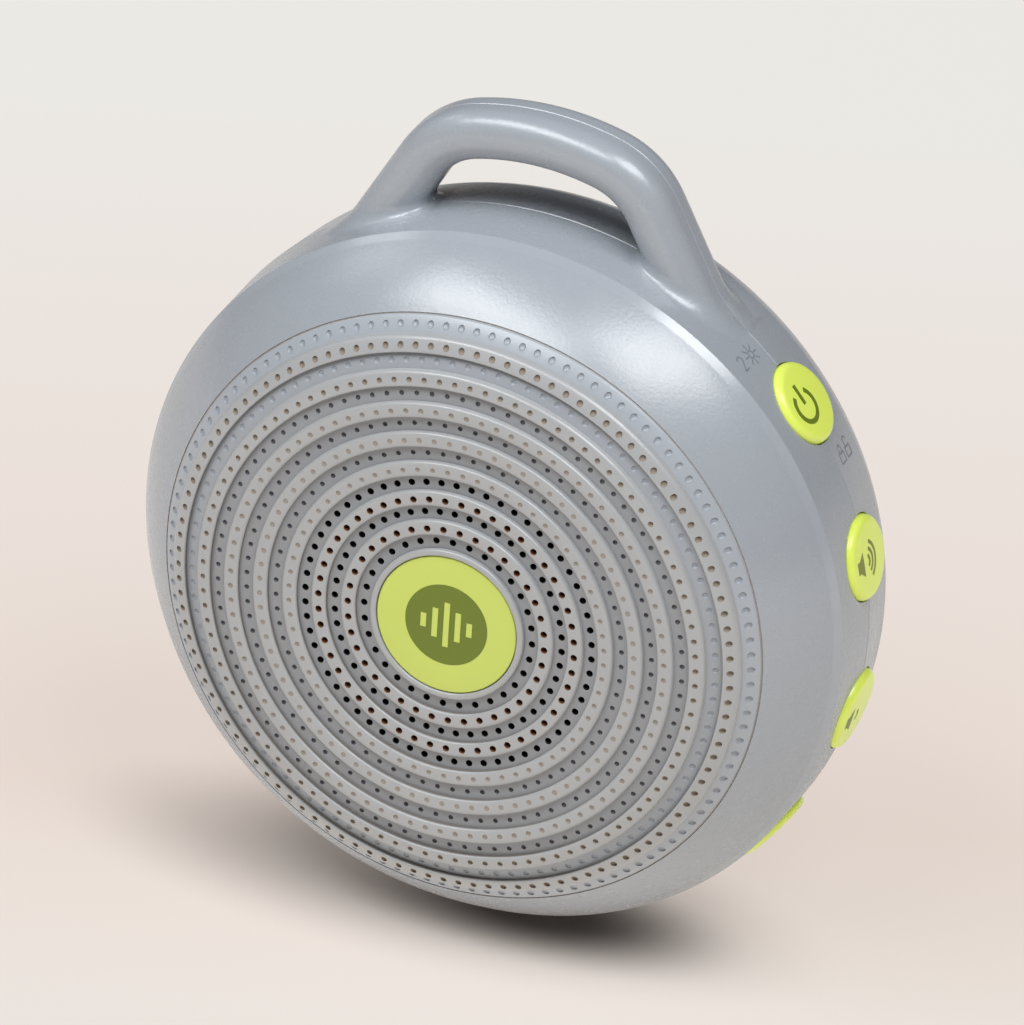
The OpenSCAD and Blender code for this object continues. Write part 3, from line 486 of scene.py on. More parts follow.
# Plastics: colour from 0 to 255, roughness, relief of the grain in mm, its scale, specular level and coat
PLASTICS = {
    "casing_plastic": ((168, 173, 180), 0.27, 0.018, 2300, 0.85),
    "polished_edge": ((172, 177, 184), 0.2, 0.003, 900, 1.0),
    # The grille plate, painted darker than the raised rings of the same plastic: painted shade in the recessed
    # rows
    "grille_plastic": ((156, 158, 162), 0.34, 0.01, 5000),
    # Outermost recessed row, painted lighter: painted light
    "seam_row": ((174, 179, 186), 0.3, 0.01, 5000, 0.7),
    # Third row from the seam, painted lighter: painted light
    "outer_row": ((166, 170, 176), 0.34, 0.01, 5000),
    "seam_shade": ((176, 164, 154), 0.6),
    # Dimples of the two outer recessed rows, painted pale: painted light
    "edge_dimple": ((164, 169, 176), 0.3),
    # Dimples of the recessed rows, painted dark: painted shade
    "plate_dimple": ((104, 103, 109), 0.5),
    # Walls of the open holes in the recessed rows, painted near black: painted shade
    "plate_tunnel": ((30, 28, 28), 0.6),
    # Raised rings and hub rim, painted lighter than the plate of the same plastic: painted light on the raised
    # tops
    "ring_plastic": ((176, 177, 178), 0.3, 0.01, 5000, 0.8),
    # Inner walls of the raised rings, painted dark brown-grey: painted shade
    "ring_wall": ((132, 124, 117), 0.5),
    # Dimples of the raised rings, painted brown: painted shade
    "ring_dimple": ((153, 142, 128), 0.6, 0.012, 2600, 0.2),
    # Dimples of raised rows 6, 8 and 10, painted a paler brown: fainter painted shade
    "ring_soft_dimple": ((161, 153, 145), 0.6, 0.012, 2600, 0.1),
    # Walls of the open holes in the raised rings, painted brown: painted warm light and shade
    "ring_tunnel": ((138, 98, 70), 0.5),
    "disc_plastic": ((212, 226, 106), 0.34, 0.012, 2600, 0.5, 0.15),
    "printed_grey": ((130, 135, 142), 0.6),
    "printed_olive": ((112, 128, 30), 0.5),
    "printed_pale_olive": ((138, 146, 64), 0.5),
    "surround_rubber": ((34, 34, 36), 0.6, 0.02, 1800),
    "ferrite": ((50, 51, 56), 0.65, 0.03, 1500),
    "lead_insulation": ((190, 40, 34), 0.4, 0.01, 1500),
    "connector_plastic": ((236, 232, 220), 0.45),
    "chip_epoxy": ((30, 30, 33), 0.55, 0.02, 4200),
    "cell_film": ((168, 172, 178), 0.25, 0.05, 260, 0.5, 0.6),
    "tongue_plastic": ((24, 24, 26), 0.4),
    "switch_plastic": ((36, 36, 38), 0.45),
    "plunger_plastic": ((228, 224, 214), 0.4),
    "foot_rubber": ((70, 72, 75), 0.8, 0.03, 1200),
}
# Metals: colour, roughness and, for screws, the stretch of their marks
METALS = {
    "basket_steel": ((128, 132, 138), 0.4),
    "zinc_steel": ((176, 178, 180), 0.35),
    "screw_steel": ((190, 192, 196), 0.25, (900, 900, 900)),
    "can_aluminium": ((202, 204, 208), 0.25),
    "socket_steel": ((186, 188, 192), 0.22),
}
finishes = {
    # The buttons' finish has a painted glow
    "button_plastic": plastic_with_painted_light("button_plastic", srgb(228, 244, 104), 0.1),
    "cloth": woven_cloth("acoustic_cloth", srgb(26, 26, 28), 0.25),
    "foam": open_foam("gasket_foam", srgb(52, 52, 55)),
    "cone_paper": pressed_paper("cone_paper", srgb(58, 57, 56)),
    "spider_cloth": woven_cloth("spider_cloth", srgb(205, 176, 110), 0.4),
    "coil_copper": wound_wire("coil_copper", srgb(196, 120, 66)),
    "board_laminate": board_laminate("board_laminate", srgb(30, 92, 54), srgb(58, 128, 78)),
    "light_laminate": board_laminate("light_laminate", srgb(232, 232, 226), srgb(214, 206, 176)),
    "led_resin": clear_resin("led_resin", srgb(250, 214, 120), 0.2),
    "pipe_clear": clear_resin("pipe_clear", srgb(238, 242, 244), 0.7),
}
for make_finish, table in ((moulded_plastic, PLASTICS), (drawn_metal, METALS)):
    for finish_name, (rgb, *values) in table.items():
        finishes[finish_name] = make_finish(finish_name, srgb(*rgb), *values)


# ---- Drawing, turning and finishing a piece
def verts_of(geometry):
    return [part for part in geometry if isinstance(part, bmesh.types.BMVert)]


def edges_of(geometry):
    return [part for part in geometry if isinstance(part, bmesh.types.BMEdge)]


class Outline:
    """A line drawn in the plane of radius and depth, to be turned about the casing's axis."""

    def __init__(self, start):
        self.bm = bmesh.new()
        self.first = self.tip = self.bm.verts.new((*start, 0))

    def line(self, *points):
        for point in points:
            self.tip = bmesh.ops.extrude_vert_indiv(self.bm, verts=[self.tip])["verts"][0]
            self.tip.co = (*point, 0)
        return self

    def arc(self, centre, sweep, steps):
        """Turns the tip about a centre, anticlockwise where the sweep is positive."""
        made = bmesh.ops.spin(self.bm, geom=[self.tip], cent=(*centre, 0), axis=(0, 0, 1), angle=sweep,
                              steps=steps)
        self.tip = verts_of(made["geom_last"])[0]
        return self

    def closed(self):
        bmesh.ops.contextual_create(self.bm, geom=[self.tip, self.first])
        return self

    def turned(self, steps):
        """Turns the line about the casing's axis, which is Y."""
        bmesh.ops.spin(self.bm, geom=self.bm.verts[:] + self.bm.edges[:], cent=(0, 0, 0), axis=(0, 1, 0),
                       angle=2 * pi, steps=steps, use_merge=True)
        return tidied(self.bm)


def tidied(bm):
    bmesh.ops.remove_doubles(bm, verts=bm.verts, dist=MERGE)
    bmesh.ops.recalc_face_normals(bm, faces=bm.faces)
    return bm


def moved(bm, matrix):
    bm.transform(matrix)
    return bm


def spoke(angle, out=0.0, y=0.0):
    """Turns a piece made along +X to stand at an angle about the casing's axis."""
    return Matrix.Rotation(-angle, 4, "Y") @ Matrix.Translation((out, y, 0))


def joined(*parts):
    """One bmesh holding all of these."""
    whole = bmesh.new()
    for part in parts:
        mesh = bpy.data.meshes.new("part")
        part.to_mesh(mesh)
        part.free()
        whole.from_mesh(mesh)
        bpy.data.meshes.remove(mesh)
    return whole


def to_object(name, bm):
    """Makes an object of a shape in millimetres about the axis, in the frame's metres."""
    bm.transform(Matrix.Translation((0, 0, AXIS_HEIGHT * MM)) @ Matrix.Scale(MM, 4))
    mesh = bpy.data.meshes.new(name)
    bm.to_mesh(mesh)
    bm.free()
    return in_scene(name, mesh)


def carved(piece, action, bm):
    """Joins a shape to a piece, or cuts it out of the piece."""
    tool = to_object("tool", bm)
    change = piece.modifiers.new("change", "BOOLEAN")
    change.operation, change.object, change.solver = action, tool, "EXACT"
    bpy.context.view_layer.update()
    shaped = bpy.data.meshes.new_from_object(piece.evaluated_get(bpy.context.evaluated_depsgraph_get()))
    piece.modifiers.clear()
    old, piece.data = piece.data, shaped
    shaped.name = piece.name
    bpy.data.meshes.remove(old)
    bpy.data.objects.remove(tool)


def finished(piece, body, finish_names, replaced=(), sharp=32):
    """Shades a piece, gives it its finishes and sets it on its body."""
    for name in finish_names:
        piece.data.materials.append(finishes[name].material)
    piece.data.shade_smooth()
    piece.data.set_sharp_from_angle(angle=radians(sharp))
    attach(piece, body)
    if replaced:
        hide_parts(*replaced)


# ---- Casing
def angle_of(vector):
    return atan2(vector[1], vector[0])


def shoulder_arc():
    """Centre and radius of the curve from the grille's seam to the side band."""
    normal = Vector((sin(seam_turn), -cos(seam_turn)))
    chord = Vector(FRONT_CREASE) - seam_point
    radius = chord.length / (2 * sin(angle_of(chord) - seam_turn))
    return seam_point - radius * normal, radius


def on_facet(*place):
    """Whether a face, by its radius, depth and normal, is on the facet between shoulder and side band."""
    return all(low < value < high for value, (low, high) in zip(place, FACET_PLACE))


def front_casing():
    centre, radius = shoulder_arc()
    facet = Vector((cos(FACET_TURN), sin(FACET_TURN)))
    facet_side = Vector((facet[1], -facet[0]))
    meet = angle_of(Vector(FRONT_CREASE) - centre) - FACET_BACK / radius
    facet_end = centre + radius * Vector((cos(meet), sin(meet))) + FACET_WIDTH * facet
    band = (Vector((CASE_R, 0)) - facet_end).normalized()
    start = angle_of(seam_point - centre) + SEAM_ROUND / radius
    line = Outline((GRILLE_R, seam_point[1] + SEAM_ROUND))
    line.line((GRILLE_R + 0.3 * SEAM_ROUND, seam_point[1] + 0.25 * SEAM_ROUND),
              centre + radius * Vector((cos(start), sin(start))))
    line.arc(centre, meet - start, 30).line(facet_end)
    line.arc(facet_end - FACET_ROUND * facet_side, angle_of(band) - FACET_TURN, 5)
    inner_r = radius - WALL
    rise = asin((GRILLE_R + WALL - centre[0]) / inner_r)
    line.line((CASE_R, -PARTING_CHAMFER - PARTING_GAP), (CASE_R - PARTING_CHAMFER, -PARTING_GAP),
              (CASE_R - WALL, -PARTING_GAP), (FRONT_CREASE[0] - WALL, FRONT_CREASE[1]),
              (GRILLE_R + WALL, centre[1] - inner_r * cos(rise)), (GRILLE_R + WALL, SEAT_Y + WALL),
              (SEAT_IN_R, SEAT_Y + WALL), (SEAT_IN_R, SEAT_Y), (GRILLE_R, SEAT_Y))
    return line.closed().turned(TURN_STEPS)


def rear_casing():
    rise = BACK_Y - REAR_CREASE[1]
    run = REAR_CREASE[0] - BACK_FLAT_R
    radius = (run * run + rise * rise) / (2 * rise)
    centre = Vector((BACK_FLAT_R, BACK_Y - radius))
    sweep = pi / 2 - angle_of(Vector(REAR_CREASE) - centre)
    line = Outline((0, BACK_Y)).line((8, BACK_Y), (16, BACK_Y), (24, BACK_Y), (BACK_FLAT_R, BACK_Y))
    line.arc(centre, -sweep, 24)
    line.line((CASE_R, PARTING_CHAMFER + PARTING_GAP), (CASE_R - PARTING_CHAMFER, PARTING_GAP),
              (CASE_R - WALL, PARTING_GAP), (REAR_CREASE[0] - WALL, REAR_CREASE[1]),
              (BACK_FLAT_R, BACK_Y - WALL), (0, BACK_Y - WALL))
    return line.turned(TURN_STEPS)


def handle_section():
    """Half of the loop's cross-section, as a closed ring: across in X, depth in Y."""
    across, depth = HANDLE_HALF_T - HANDLE_ROUND, HANDLE_HALF_Y - HANDLE_ROUND
    chamfer = PARTING_CHAMFER
    ring = Outline((HANDLE_HALF_T - chamfer, PARTING_GAP))
    ring.line((HANDLE_HALF_T, PARTING_GAP + chamfer), (HANDLE_HALF_T, depth))
    ring.arc((across, depth), pi / 2, 10).line((-across, HANDLE_HALF_Y)).arc((-across, depth), pi / 2, 10)
    ring.line((-HANDLE_HALF_T, PARTING_GAP + chamfer), (chamfer - HANDLE_HALF_T, PARTING_GAP))
    return ring.closed().bm


def spread_leg(section, height, spread, slope, leg_start, leg_out, leg_dir):
    """Lays one ring of the leg around the side band, at a height above it and widened by the fillet."""
    for vert, (across, depth) in section.items():
        core = Vector((max(min(across, HANDLE_HALF_T - HANDLE_ROUND), HANDLE_ROUND - HANDLE_HALF_T),
                       min(depth, HANDLE_HALF_Y - HANDLE_ROUND)))
        away = Vector((across, depth)) - core
        if depth < PARTING_GAP + 2 * PARTING_CHAMFER:
            away = Vector((1 if across > 0 else -1, 0))
        away.normalize()
        at = Vector((across, depth)) + spread * away
        origin = leg_start + at[0] * leg_out
        run = origin @ leg_dir
        goal = CASE_R - slope * at[1] + height
        point = origin - (run + sqrt(run * run - origin @ origin + goal * goal)) * leg_dir
        vert.co = (point[0], at[1], point[1])


def handle_half(side, slope):
    """Half of the loop, in front of the parting line where side is -1, and behind it where side is 1."""
    bm = handle_section()
    ring = bm.verts[:] + bm.edges[:]
    for vert in bm.verts:
        vert.co = (0, vert.co[1], TOP_ARC_Z + TOP_ARC_R + vert.co[0])
    arm = TOP_ARC_R - SHOULDER_ARC_R
    corner = Vector((arm * sin(TOP_ARC_SWEEP), TOP_ARC_Z + arm * cos(TOP_ARC_SWEEP)))
    leg_turn = TOP_ARC_SWEEP + SHOULDER_ARC_SWEEP
    leg_out = Vector((sin(leg_turn), cos(leg_turn)))
    leg_dir = Vector((cos(leg_turn), -sin(leg_turn)))
    leg_start = corner + SHOULDER_ARC_R * leg_out
    for centre, sweep, steps in (((0, TOP_ARC_Z), TOP_ARC_SWEEP, 10), (corner, SHOULDER_ARC_SWEEP, 20)):
        ring = bmesh.ops.spin(bm, geom=ring, cent=(centre[0], 0, centre[1]), axis=(0, 1, 0), angle=sweep,
                              steps=steps)["geom_last"]
    stages = [(LEG_FILLET * (1 - sin(a)), LEG_FILLET * (1 - cos(a))) for a in LEG_FILLET_TURNS]
    stages.append((-LEG_SUNK, stages[-1][1]))
    section = {v: ((Vector((v.co[0], v.co[2])) - leg_start) @ leg_out, v.co[1]) for v in verts_of(ring)}
    for height, spread in stages:
        ring = bmesh.ops.extrude_edge_only(bm, edges=edges_of(ring))["geom"]
        section = {new: section[min(section, key=lambda old: (old.co - new.co).length_squared)]
                   for new in verts_of(ring)}
        spread_leg(section, height, spread, slope, leg_start, leg_out, leg_dir)
    bmesh.ops.edgeloop_fill(bm, edges=edges_of(ring))
    bmesh.ops.mirror(bm, geom=bm.verts[:] + bm.edges[:] + bm.faces[:], axis="X", merge_dist=MERGE)
    if side < 0:
        bmesh.ops.scale(bm, vec=(1, -1, 1), verts=bm.verts)
    return tidied(bm)


def rod(radius, start, end, segments):
    """A round rod along +X."""
    bm = bmesh.new()
    bmesh.ops.create_cone(bm, cap_ends=True, segments=segments, radius1=radius, radius2=radius,
                          depth=end - start)
    return moved(bm, Matrix.Translation(((start + end) / 2, 0, 0)) @ Matrix.Rotation(pi / 2, 4, "Y"))


def slab(size, place, corner=0.0, axis=2):
    """A block with the edges along one axis rounded."""
    bm = bmesh.new()
    bmesh.ops.create_cube(bm, size=1)
    bmesh.ops.scale(bm, vec=size, verts=bm.verts)
    if corner:
        upright = [e for e in bm.edges
                   if abs((e.verts[0].co - e.verts[1].co)[axis]) > 0.9 * size[axis]]
        bmesh.ops.bevel(bm, geom=upright, offset=corner, offset_type="OFFSET", segments=6, profile=0.5,
                        affect="EDGES", material=-1)
    bmesh.ops.translate(bm, vec=place, verts=bm.verts)
    return bm


def button_cutters():
    return [moved(rod(BUTTON_R + BUTTON_GAP, *BUTTON_CUT, 96), spoke(a)) for a in BUTTON_ANGLES]


def cut_foot_pocket(piece):
    """Cuts the foot's pocket into the casing, and the flat round it, which is clear of the ground."""
    for tool in [slab(FOOT_SIZE, FOOT_PLACE, FOOT_ROUND), slab(FLAT_SIZE, FLAT_PLACE)]:
        carved(piece, "DIFFERENCE", tool)


def at_screw(bm, angle):
    """Moves a shape made on the axis out to one casing screw."""
    bmesh.ops.translate(bm, vec=(CASE_SCREW_OUT, 0, 0), verts=bm.verts)
    return moved(bm, spoke(angle))


def screw_recess(angle):
    """Stepped hole for one casing screw, from the back."""
    line = Outline((0, RECESS_START_Y)).line((SCREW_SHAFT_R, RECESS_START_Y), (SCREW_SHAFT_R, SCREW_SEAT_Y))
    line.line((SCREW_HEAD_R, SCREW_SEAT_Y), (SCREW_HEAD_R, RECESS_END_Y), (0, RECESS_END_Y))
    return at_screw(line.turned(48), angle)


def screw_boss(angle):
    """A post inside the rear shell round one casing screw, cut to follow the sloping wall."""
    top = BACK_Y - WALL
    bm = Outline((0, BOSS_FOOT_Y)).line((BOSS_R, BOSS_FOOT_Y), (BOSS_R, top), (0, top)).turned(48)
    for vert in bm.verts:
        if vert.co[1] > 1:
            vert.co[1] -= BOSS_LEAN * (vert.co[0] + BOSS_R)
    return at_screw(bm, angle)


def make_casing():
    front = to_object("casing_front", front_casing())
    carved(front, "UNION", handle_half(-1, FRONT_SLOPE))
    carved(front, "DIFFERENCE", joined(*button_cutters()))
    cut_foot_pocket(front)
    finished(front, "casing", ["casing_plastic", "polished_edge"], ["front_shell"], sharp=20)
    for face in front.data.polygons:
        x, y, z = face.center / MM
        face.material_index = on_facet(hypot(x, z - AXIS_HEIGHT), y, face.normal[1])

    rear = to_object("casing_rear", rear_casing())
    carved(rear, "UNION", handle_half(1, REAR_SLOPE))
    carved(rear, "UNION", joined(*[screw_boss(a) for a in CASE_SCREW_ANGLES]))
    socket = slab(SOCKET_SIZE, SOCKET_PLACE, SOCKET_ROUND, axis=0)
    pipe = moved(rod(PIPE_R, *PIPE_CUT, 32), spoke(PIPE_ANGLE, 0, PIPE_Y))
    carved(rear, "DIFFERENCE",
           joined(*button_cutters(), *[screw_recess(a) for a in CASE_SCREW_ANGLES], socket, pipe))
    cut_foot_pocket(rear)
    finished(rear, "casing", ["casing_plastic"], ["rear_shell"])


# ---- Grille
def row_edges(row):
    """Inner and outer radius of a row, counted from the seam inwards."""
    inner = HUB_OUT_R + ROW_PITCH * (ROWS - row)
    return inner, inner + ROW_PITCH


def dome_y(r, height):
    """Depth of the grille's surface at a radius, for a point that stands so far above it."""
    if r <= GRILLE_FLAT_R:
        return FACE_Y - height
    radius = GRILLE_CURVE_R + height
    return dome_centre[1] - sqrt(radius * radius - (r - GRILLE_FLAT_R) ** 2)


def radius_of(vert):
    return hypot(vert.co[0], vert.co[2])


def circle_of_verts(bm, radius, sides, row_r, height):
    """A circle facing -Y, set so that a point of it lies towards each corner of its tile."""
    corner_turn = 0 if sides % 8 == 0 else pi / sides
    place = Matrix.Translation((row_r, -height, 0)) @ Matrix.Rotation(pi / 2, 4, "X")
    place = place @ Matrix.Rotation(corner_turn, 4, "Z")
    made = bmesh.ops.create_circle(bm, cap_ends=False, segments=sides, radius=radius, matrix=place)
    return made["verts"]


def edges_between(verts):
    kept = set(verts)
    return [e for e in dict.fromkeys(e for v in verts for e in v.link_edges) if kept.issuperset(e.verts)]


def tile_outline(bm, sides, row_r, height, low, high, half_angle):
    """The four-sided border of one tile of a row, with as many points as its hole has."""
    verts = circle_of_verts(bm, 1, sides, row_r, height)
    for vert in verts:
        u, w = vert.co[0] - row_r, vert.co[2]
        reach = max(abs(u), abs(w))
        u, w = u / reach, w / reach
        r = row_r + u * (high - row_r if u > 0 else row_r - low)
        vert.co = (r * cos(w * half_angle), -height, r * sin(w * half_angle))
    return verts


def bridged(bm, *loops, finish=SURFACE):
    made = bmesh.ops.bridge_loops(bm, edges=[e for loop in loops for e in edges_between(loop)])
    for face in made["faces"]:
        face.material_index = finish


def hole_tile(bm, count, hole_r, depth, face_low, face_high, top, low, high):
    """One tile of a row: its face with one hole, which is a dimple where it has a depth."""
    row_r = (face_low + face_high) / 2
    sides = 12 if depth else 16
    border = tile_outline(bm, sides, row_r, top, face_low, face_high, pi / count)
    rim = circle_of_verts(bm, hole_r, sides, row_r, top)
    bridged(bm, border, rim)
    if depth:
        # The bowl takes the dimple finish, painted shade; make_row swaps in paler finishes on some rows
        for share, drop in DIMPLE_BOWL:
            lower = circle_of_verts(bm, hole_r * share, sides, row_r, top - depth * drop)
            bridged(bm, rim, lower, finish=DIMPLE)
            rim = lower
        for face in bmesh.ops.contextual_create(bm, geom=edges_between(rim))["faces"]:
            face.material_index = DIMPLE
        return
    # The hole's wall takes the tunnel finish: painted shade, near black in the plate, brown with painted warm
    # light in the raised rings
    foot = circle_of_verts(bm, hole_r, sides, row_r, -GRILLE_T)
    bridged(bm, rim, foot, finish=TUNNEL)
    bridged(bm, foot, tile_outline(bm, sides, row_r, -GRILLE_T, low, high, pi / count))


def open_edges(bm, inner, height):
    """The open border of a row's face, on the side nearer the middle or farther from it."""
    radii = [radius_of(v) for v in bm.verts]
    middle = (min(radii) + max(radii)) / 2
    return [e for e in bm.edges if len(e.link_faces) == 1 and (radius_of(e.verts[0]) < middle) == inner
            and abs(e.verts[0].co[1] + height) < 0.001]


def drawn_out(bm, edges, stations, finish=SURFACE):
    """Pulls a border through stations of radius and height."""
    for r, height in stations:
        made = bmesh.ops.extrude_edge_only(bm, edges=edges)["geom"]
        for vert in verts_of(made):
            grow = r / radius_of(vert)
            vert.co = (vert.co[0] * grow, -height, vert.co[2] * grow)
        for face in made:
            if isinstance(face, bmesh.types.BMFace):
                face.material_index = finish
        edges = edges_of(made)
    return edges


def quarter_round(edge, size, direction, top):
    """Stations that round an edge over, outwards where direction is 1."""
    turns = [k * pi / 10 for k in range(1, 6)]
    return [(edge + direction * size * (sin(a) - 1), top - size * (1 - cos(a))) for a in turns]


def make_row(row):
    """One closed band of the grille: a recessed row where its number is odd, a raised ring where it is even."""
    count, hole_r, depth = HOLE_ROWS[row - 1]
    low, high = row_edges(row)
    high = min(high, GRILLE_R - SEAM_GAP)
    raised = row % 2 == 0
    bm = bmesh.new()
    if raised:
        top, face = RING_RELIEF, (low + RING_INNER_ROUND, high - RING_OUTER_ROUND)
    else:
        low, high = low - ROW_OVERLAP, high + (ROW_OVERLAP if row > 1 else 0)
        top, face = 0.0, (low, high - (SEAM_ROUND if row == 1 else 0))
    hole_tile(bm, count, hole_r, depth, *face, top, low, high)
    bmesh.ops.spin(bm, geom=bm.verts[:] + bm.edges[:] + bm.faces[:], cent=(0, 0, 0), axis=(0, 1, 0),
                   angle=2 * pi * (count - 1) / count, steps=count - 1, use_duplicate=True)
    bmesh.ops.remove_doubles(bm, verts=bm.verts, dist=MERGE)
    inner, outer = open_edges(bm, True, top), open_edges(bm, False, top)
    if raised:
        inner = drawn_out(bm, inner, quarter_round(low, RING_INNER_ROUND, -1, top))
        # The inner wall of a raised ring takes painted shade
        inner = drawn_out(bm, inner, [(low, -GRILLE_T)], RING_SIDE)
        outer = drawn_out(bm, outer, quarter_round(high, RING_OUTER_ROUND, 1, top) + [(high, -GRILLE_T)])
    else:
        inner = drawn_out(bm, inner, [(low, -GRILLE_T)])
        round_over = quarter_round(high, SEAM_ROUND, 1, top) if row == 1 else []
        outer = drawn_out(bm, outer, round_over + [(high, -GRILLE_T)])
    if depth:
        bmesh.ops.bridge_loops(bm, edges=inner + outer)
    bmesh.ops.remove_doubles(bm, verts=bm.verts, dist=MERGE)
    for vert in bm.verts:
        vert.co[1] = dome_y(radius_of(vert), -vert.co[1])
    row_finishes = ROW_FINISHES.get(row, {})
    for face in bm.faces:
        face.material_index = row_finishes.get(face.material_index, face.material_index)
    bmesh.ops.recalc_face_normals(bm, faces=bm.faces)
    return bm


def grille_hub():
    """The plate's middle, under the centre disc."""
    well_r, outer_r = HUB_IN_R - HUB_WELL_GAP, HUB_OUT_R + ROW_OVERLAP
    line = Outline((0, HUB_WELL_Y)).line((well_r, HUB_WELL_Y), (well_r, FACE_Y), (outer_r, FACE_Y),
                                         (outer_r, FACE_Y + GRILLE_T), (0, FACE_Y + GRILLE_T))
    return line.turned(96)


def grille_skirt():
    """The wall that runs back from the grille's edge to its seat."""
    outer, lip_y = GRILLE_R - SKIRT_GAP, dome_y(GRILLE_R, -SEAM_LIP_DEPTH)
    line = Outline((SKIRT_IN_R, dome_y(SKIRT_IN_R, -1)))
    line.line((GRILLE_R - SEAM_GAP - SEAM_LIP_WIDTH, lip_y), (outer, lip_y), (outer, SEAT_Y),
              (SKIRT_IN_R, SEAT_Y))
    skirt = line.closed().turned(192)
    for face in skirt.faces:
        face.material_index = SKIRT
    return skirt


def speaker_post(angle):
    """A post on the back of the grille that takes one of the speaker's screws."""
    top = FACE_Y + GRILLE_T - POST_ROOT
    line = Outline((0, top)).line((POST_R, top), (POST_R, POST_END_Y), (0, POST_END_Y))
    return moved(line.turned(32), spoke(angle, POST_OUT))


def make_grille():
    recessed = joined(*[make_row(row) for row in range(1, ROWS + 1, 2)], grille_hub(), grille_skirt(),
                      *[speaker_post(a) for a in POST_ANGLES])
    plate = to_object("grille_recessed_rows", recessed)
    # The plate's and the rings' finishes carry painted light and shade, as given with the plastics
    finished(plate, "casing",
             ["grille_plastic", "plate_dimple", "plate_tunnel", "plate_dimple", "edge_dimple", "seam_shade",
              "seam_row", "outer_row"], ["grille_plate"])
    rings = to_object("grille_raised_rings", joined(*[make_row(row) for row in range(2, ROWS, 2)]))
    finished(rings, "casing",
             ["ring_plastic", "ring_dimple", "ring_tunnel", "ring_wall", "ring_soft_dimple"], ["grille_rings"])


# ---- Hub rim and centre disc
def make_hub():
    foot = FACE_Y + HUB_SUNK
    rim = Outline((HUB_IN_R, foot)).line((HUB_IN_R, HUB_TOP_Y + HUB_INNER_ROUND))
    rim.arc((HUB_IN_R + HUB_INNER_ROUND, HUB_TOP_Y + HUB_INNER_ROUND), pi / 2, 5)
    rim.line((HUB_OUT_R - HUB_OUTER_ROUND, HUB_TOP_Y))
    rim.arc((HUB_OUT_R - HUB_OUTER_ROUND, HUB_TOP_Y + HUB_OUTER_ROUND), pi / 2, 8).line((HUB_OUT_R, foot))
    piece = to_object("centre_rim", rim.closed().turned(144))
    # The hub rim takes the raised rings' lighter finish: painted light
    finished(piece, "casing", ["ring_plastic"], ["hub_rim"])
    edge = DISC_R - DISC_ROUND
    disc = Outline((0, DISC_Y)).line((3, DISC_Y), (6, DISC_Y), (edge, DISC_Y))
    disc.arc((edge, DISC_Y + DISC_ROUND), pi / 2, 5).line((DISC_R, DISC_BACK_Y), (0, DISC_BACK_Y))
    piece = to_object("centre_badge", disc.turned(144))
    finished(piece, "casing", ["disc_plastic"], ["centre_disc"])


# ---- Printed symbols: flat strokes drawn in X to the right and Y upwards, then laid on their surface
class Symbol:
    """Bars of one width, and dots, in one bmesh."""

    def __init__(self, width):
        self.bm = bmesh.new()
        self.width = width

    def stroke(self, start, end, width=None):
        """A straight bar between two points."""
        a, b = Vector(start), Vector(end)
        along = (b - a).normalized()
        side = Vector((-along[1], along[0])) * ((width or self.width) / 2)
        tips = [self.bm.verts.new((*(a + side), 0)), self.bm.verts.new((*(a - side), 0))]
        edge = bmesh.ops.contextual_create(self.bm, geom=tips)["edges"]
        steps = max(2, round((b - a).length / 0.5))
        for _ in range(steps):
            made = bmesh.ops.extrude_edge_only(self.bm, edges=edge)["geom"]
            bmesh.ops.translate(self.bm, vec=(*(b - a) / steps, 0), verts=verts_of(made))
            edge = edges_of(made)
        return self

    def bend(self, centre, radius, start, sweep, steps):
        """A bar bent round a centre, from an angle through a sweep, in degrees."""
        turn = Matrix.Rotation(radians(start), 3, "Z")
        middle = Vector((*centre, 0))
        tips = [self.bm.verts.new(middle + turn @ Vector((radius + side, 0, 0)))
                for side in (-self.width / 2, self.width / 2)]
        edge = bmesh.ops.contextual_create(self.bm, geom=tips)["edges"]
        bmesh.ops.spin(self.bm, geom=tips + edge, cent=middle, axis=(0, 0, 1), angle=radians(sweep),
                       steps=steps)
        return self

    def dot(self, centre, radius):
        place = Matrix.Translation((*centre, 0))
        bmesh.ops.create_circle(self.bm, cap_ends=True, segments=20, radius=radius, matrix=place)
        return self


def laid(bm, surface):
    """Turns flat strokes into a thin raised print that follows a surface."""
    bmesh.ops.remove_doubles(bm, verts=bm.verts, dist=0.001)
    bmesh.ops.recalc_face_normals(bm, faces=bm.faces)
    bmesh.ops.subdivide_edges(bm, edges=[e for e in bm.edges if e.calc_length() > 0.8], cuts=1)
    made = bmesh.ops.extrude_face_region(bm, geom=bm.faces[:], use_keep_orig=True)
    bmesh.ops.translate(bm, vec=(0, 0, PRINT_T), verts=verts_of(made["geom"]))
    for vert in bm.verts:
        vert.co = surface(*vert.co)
    bmesh.ops.recalc_face_normals(bm, faces=bm.faces)
    return bm


def on_button(angle):
    """The crowned face of a button: Y of a symbol points along the casing, towards the loop."""
    def surface(x, y, z):
        x -= BUTTON_PRINT_SHIFT
        out = BUTTON_TOP - (x * x + y * y) / (2 * BUTTON_CROWN_R) + z - PRINT_SUNK
        return (out * cos(angle) - y * sin(angle), x, out * sin(angle) + y * cos(angle))
    return surface


def on_band(angle, depth):
    """The casing's side band, at an angle and a distance from the parting line."""
    def surface(x, y, z):
        at = depth + x
        slope = FRONT_SLOPE if at < 0 else -REAR_SLOPE
        r = CASE_R + slope * at + z - PRINT_SUNK
        turn = angle + y / CASE_R
        return (r * cos(turn), at, r * sin(turn))
    return surface


def on_badge(x, y, z):
    """The centre disc's flat face."""
    return (x, DISC_Y - z + PRINT_SUNK, y)


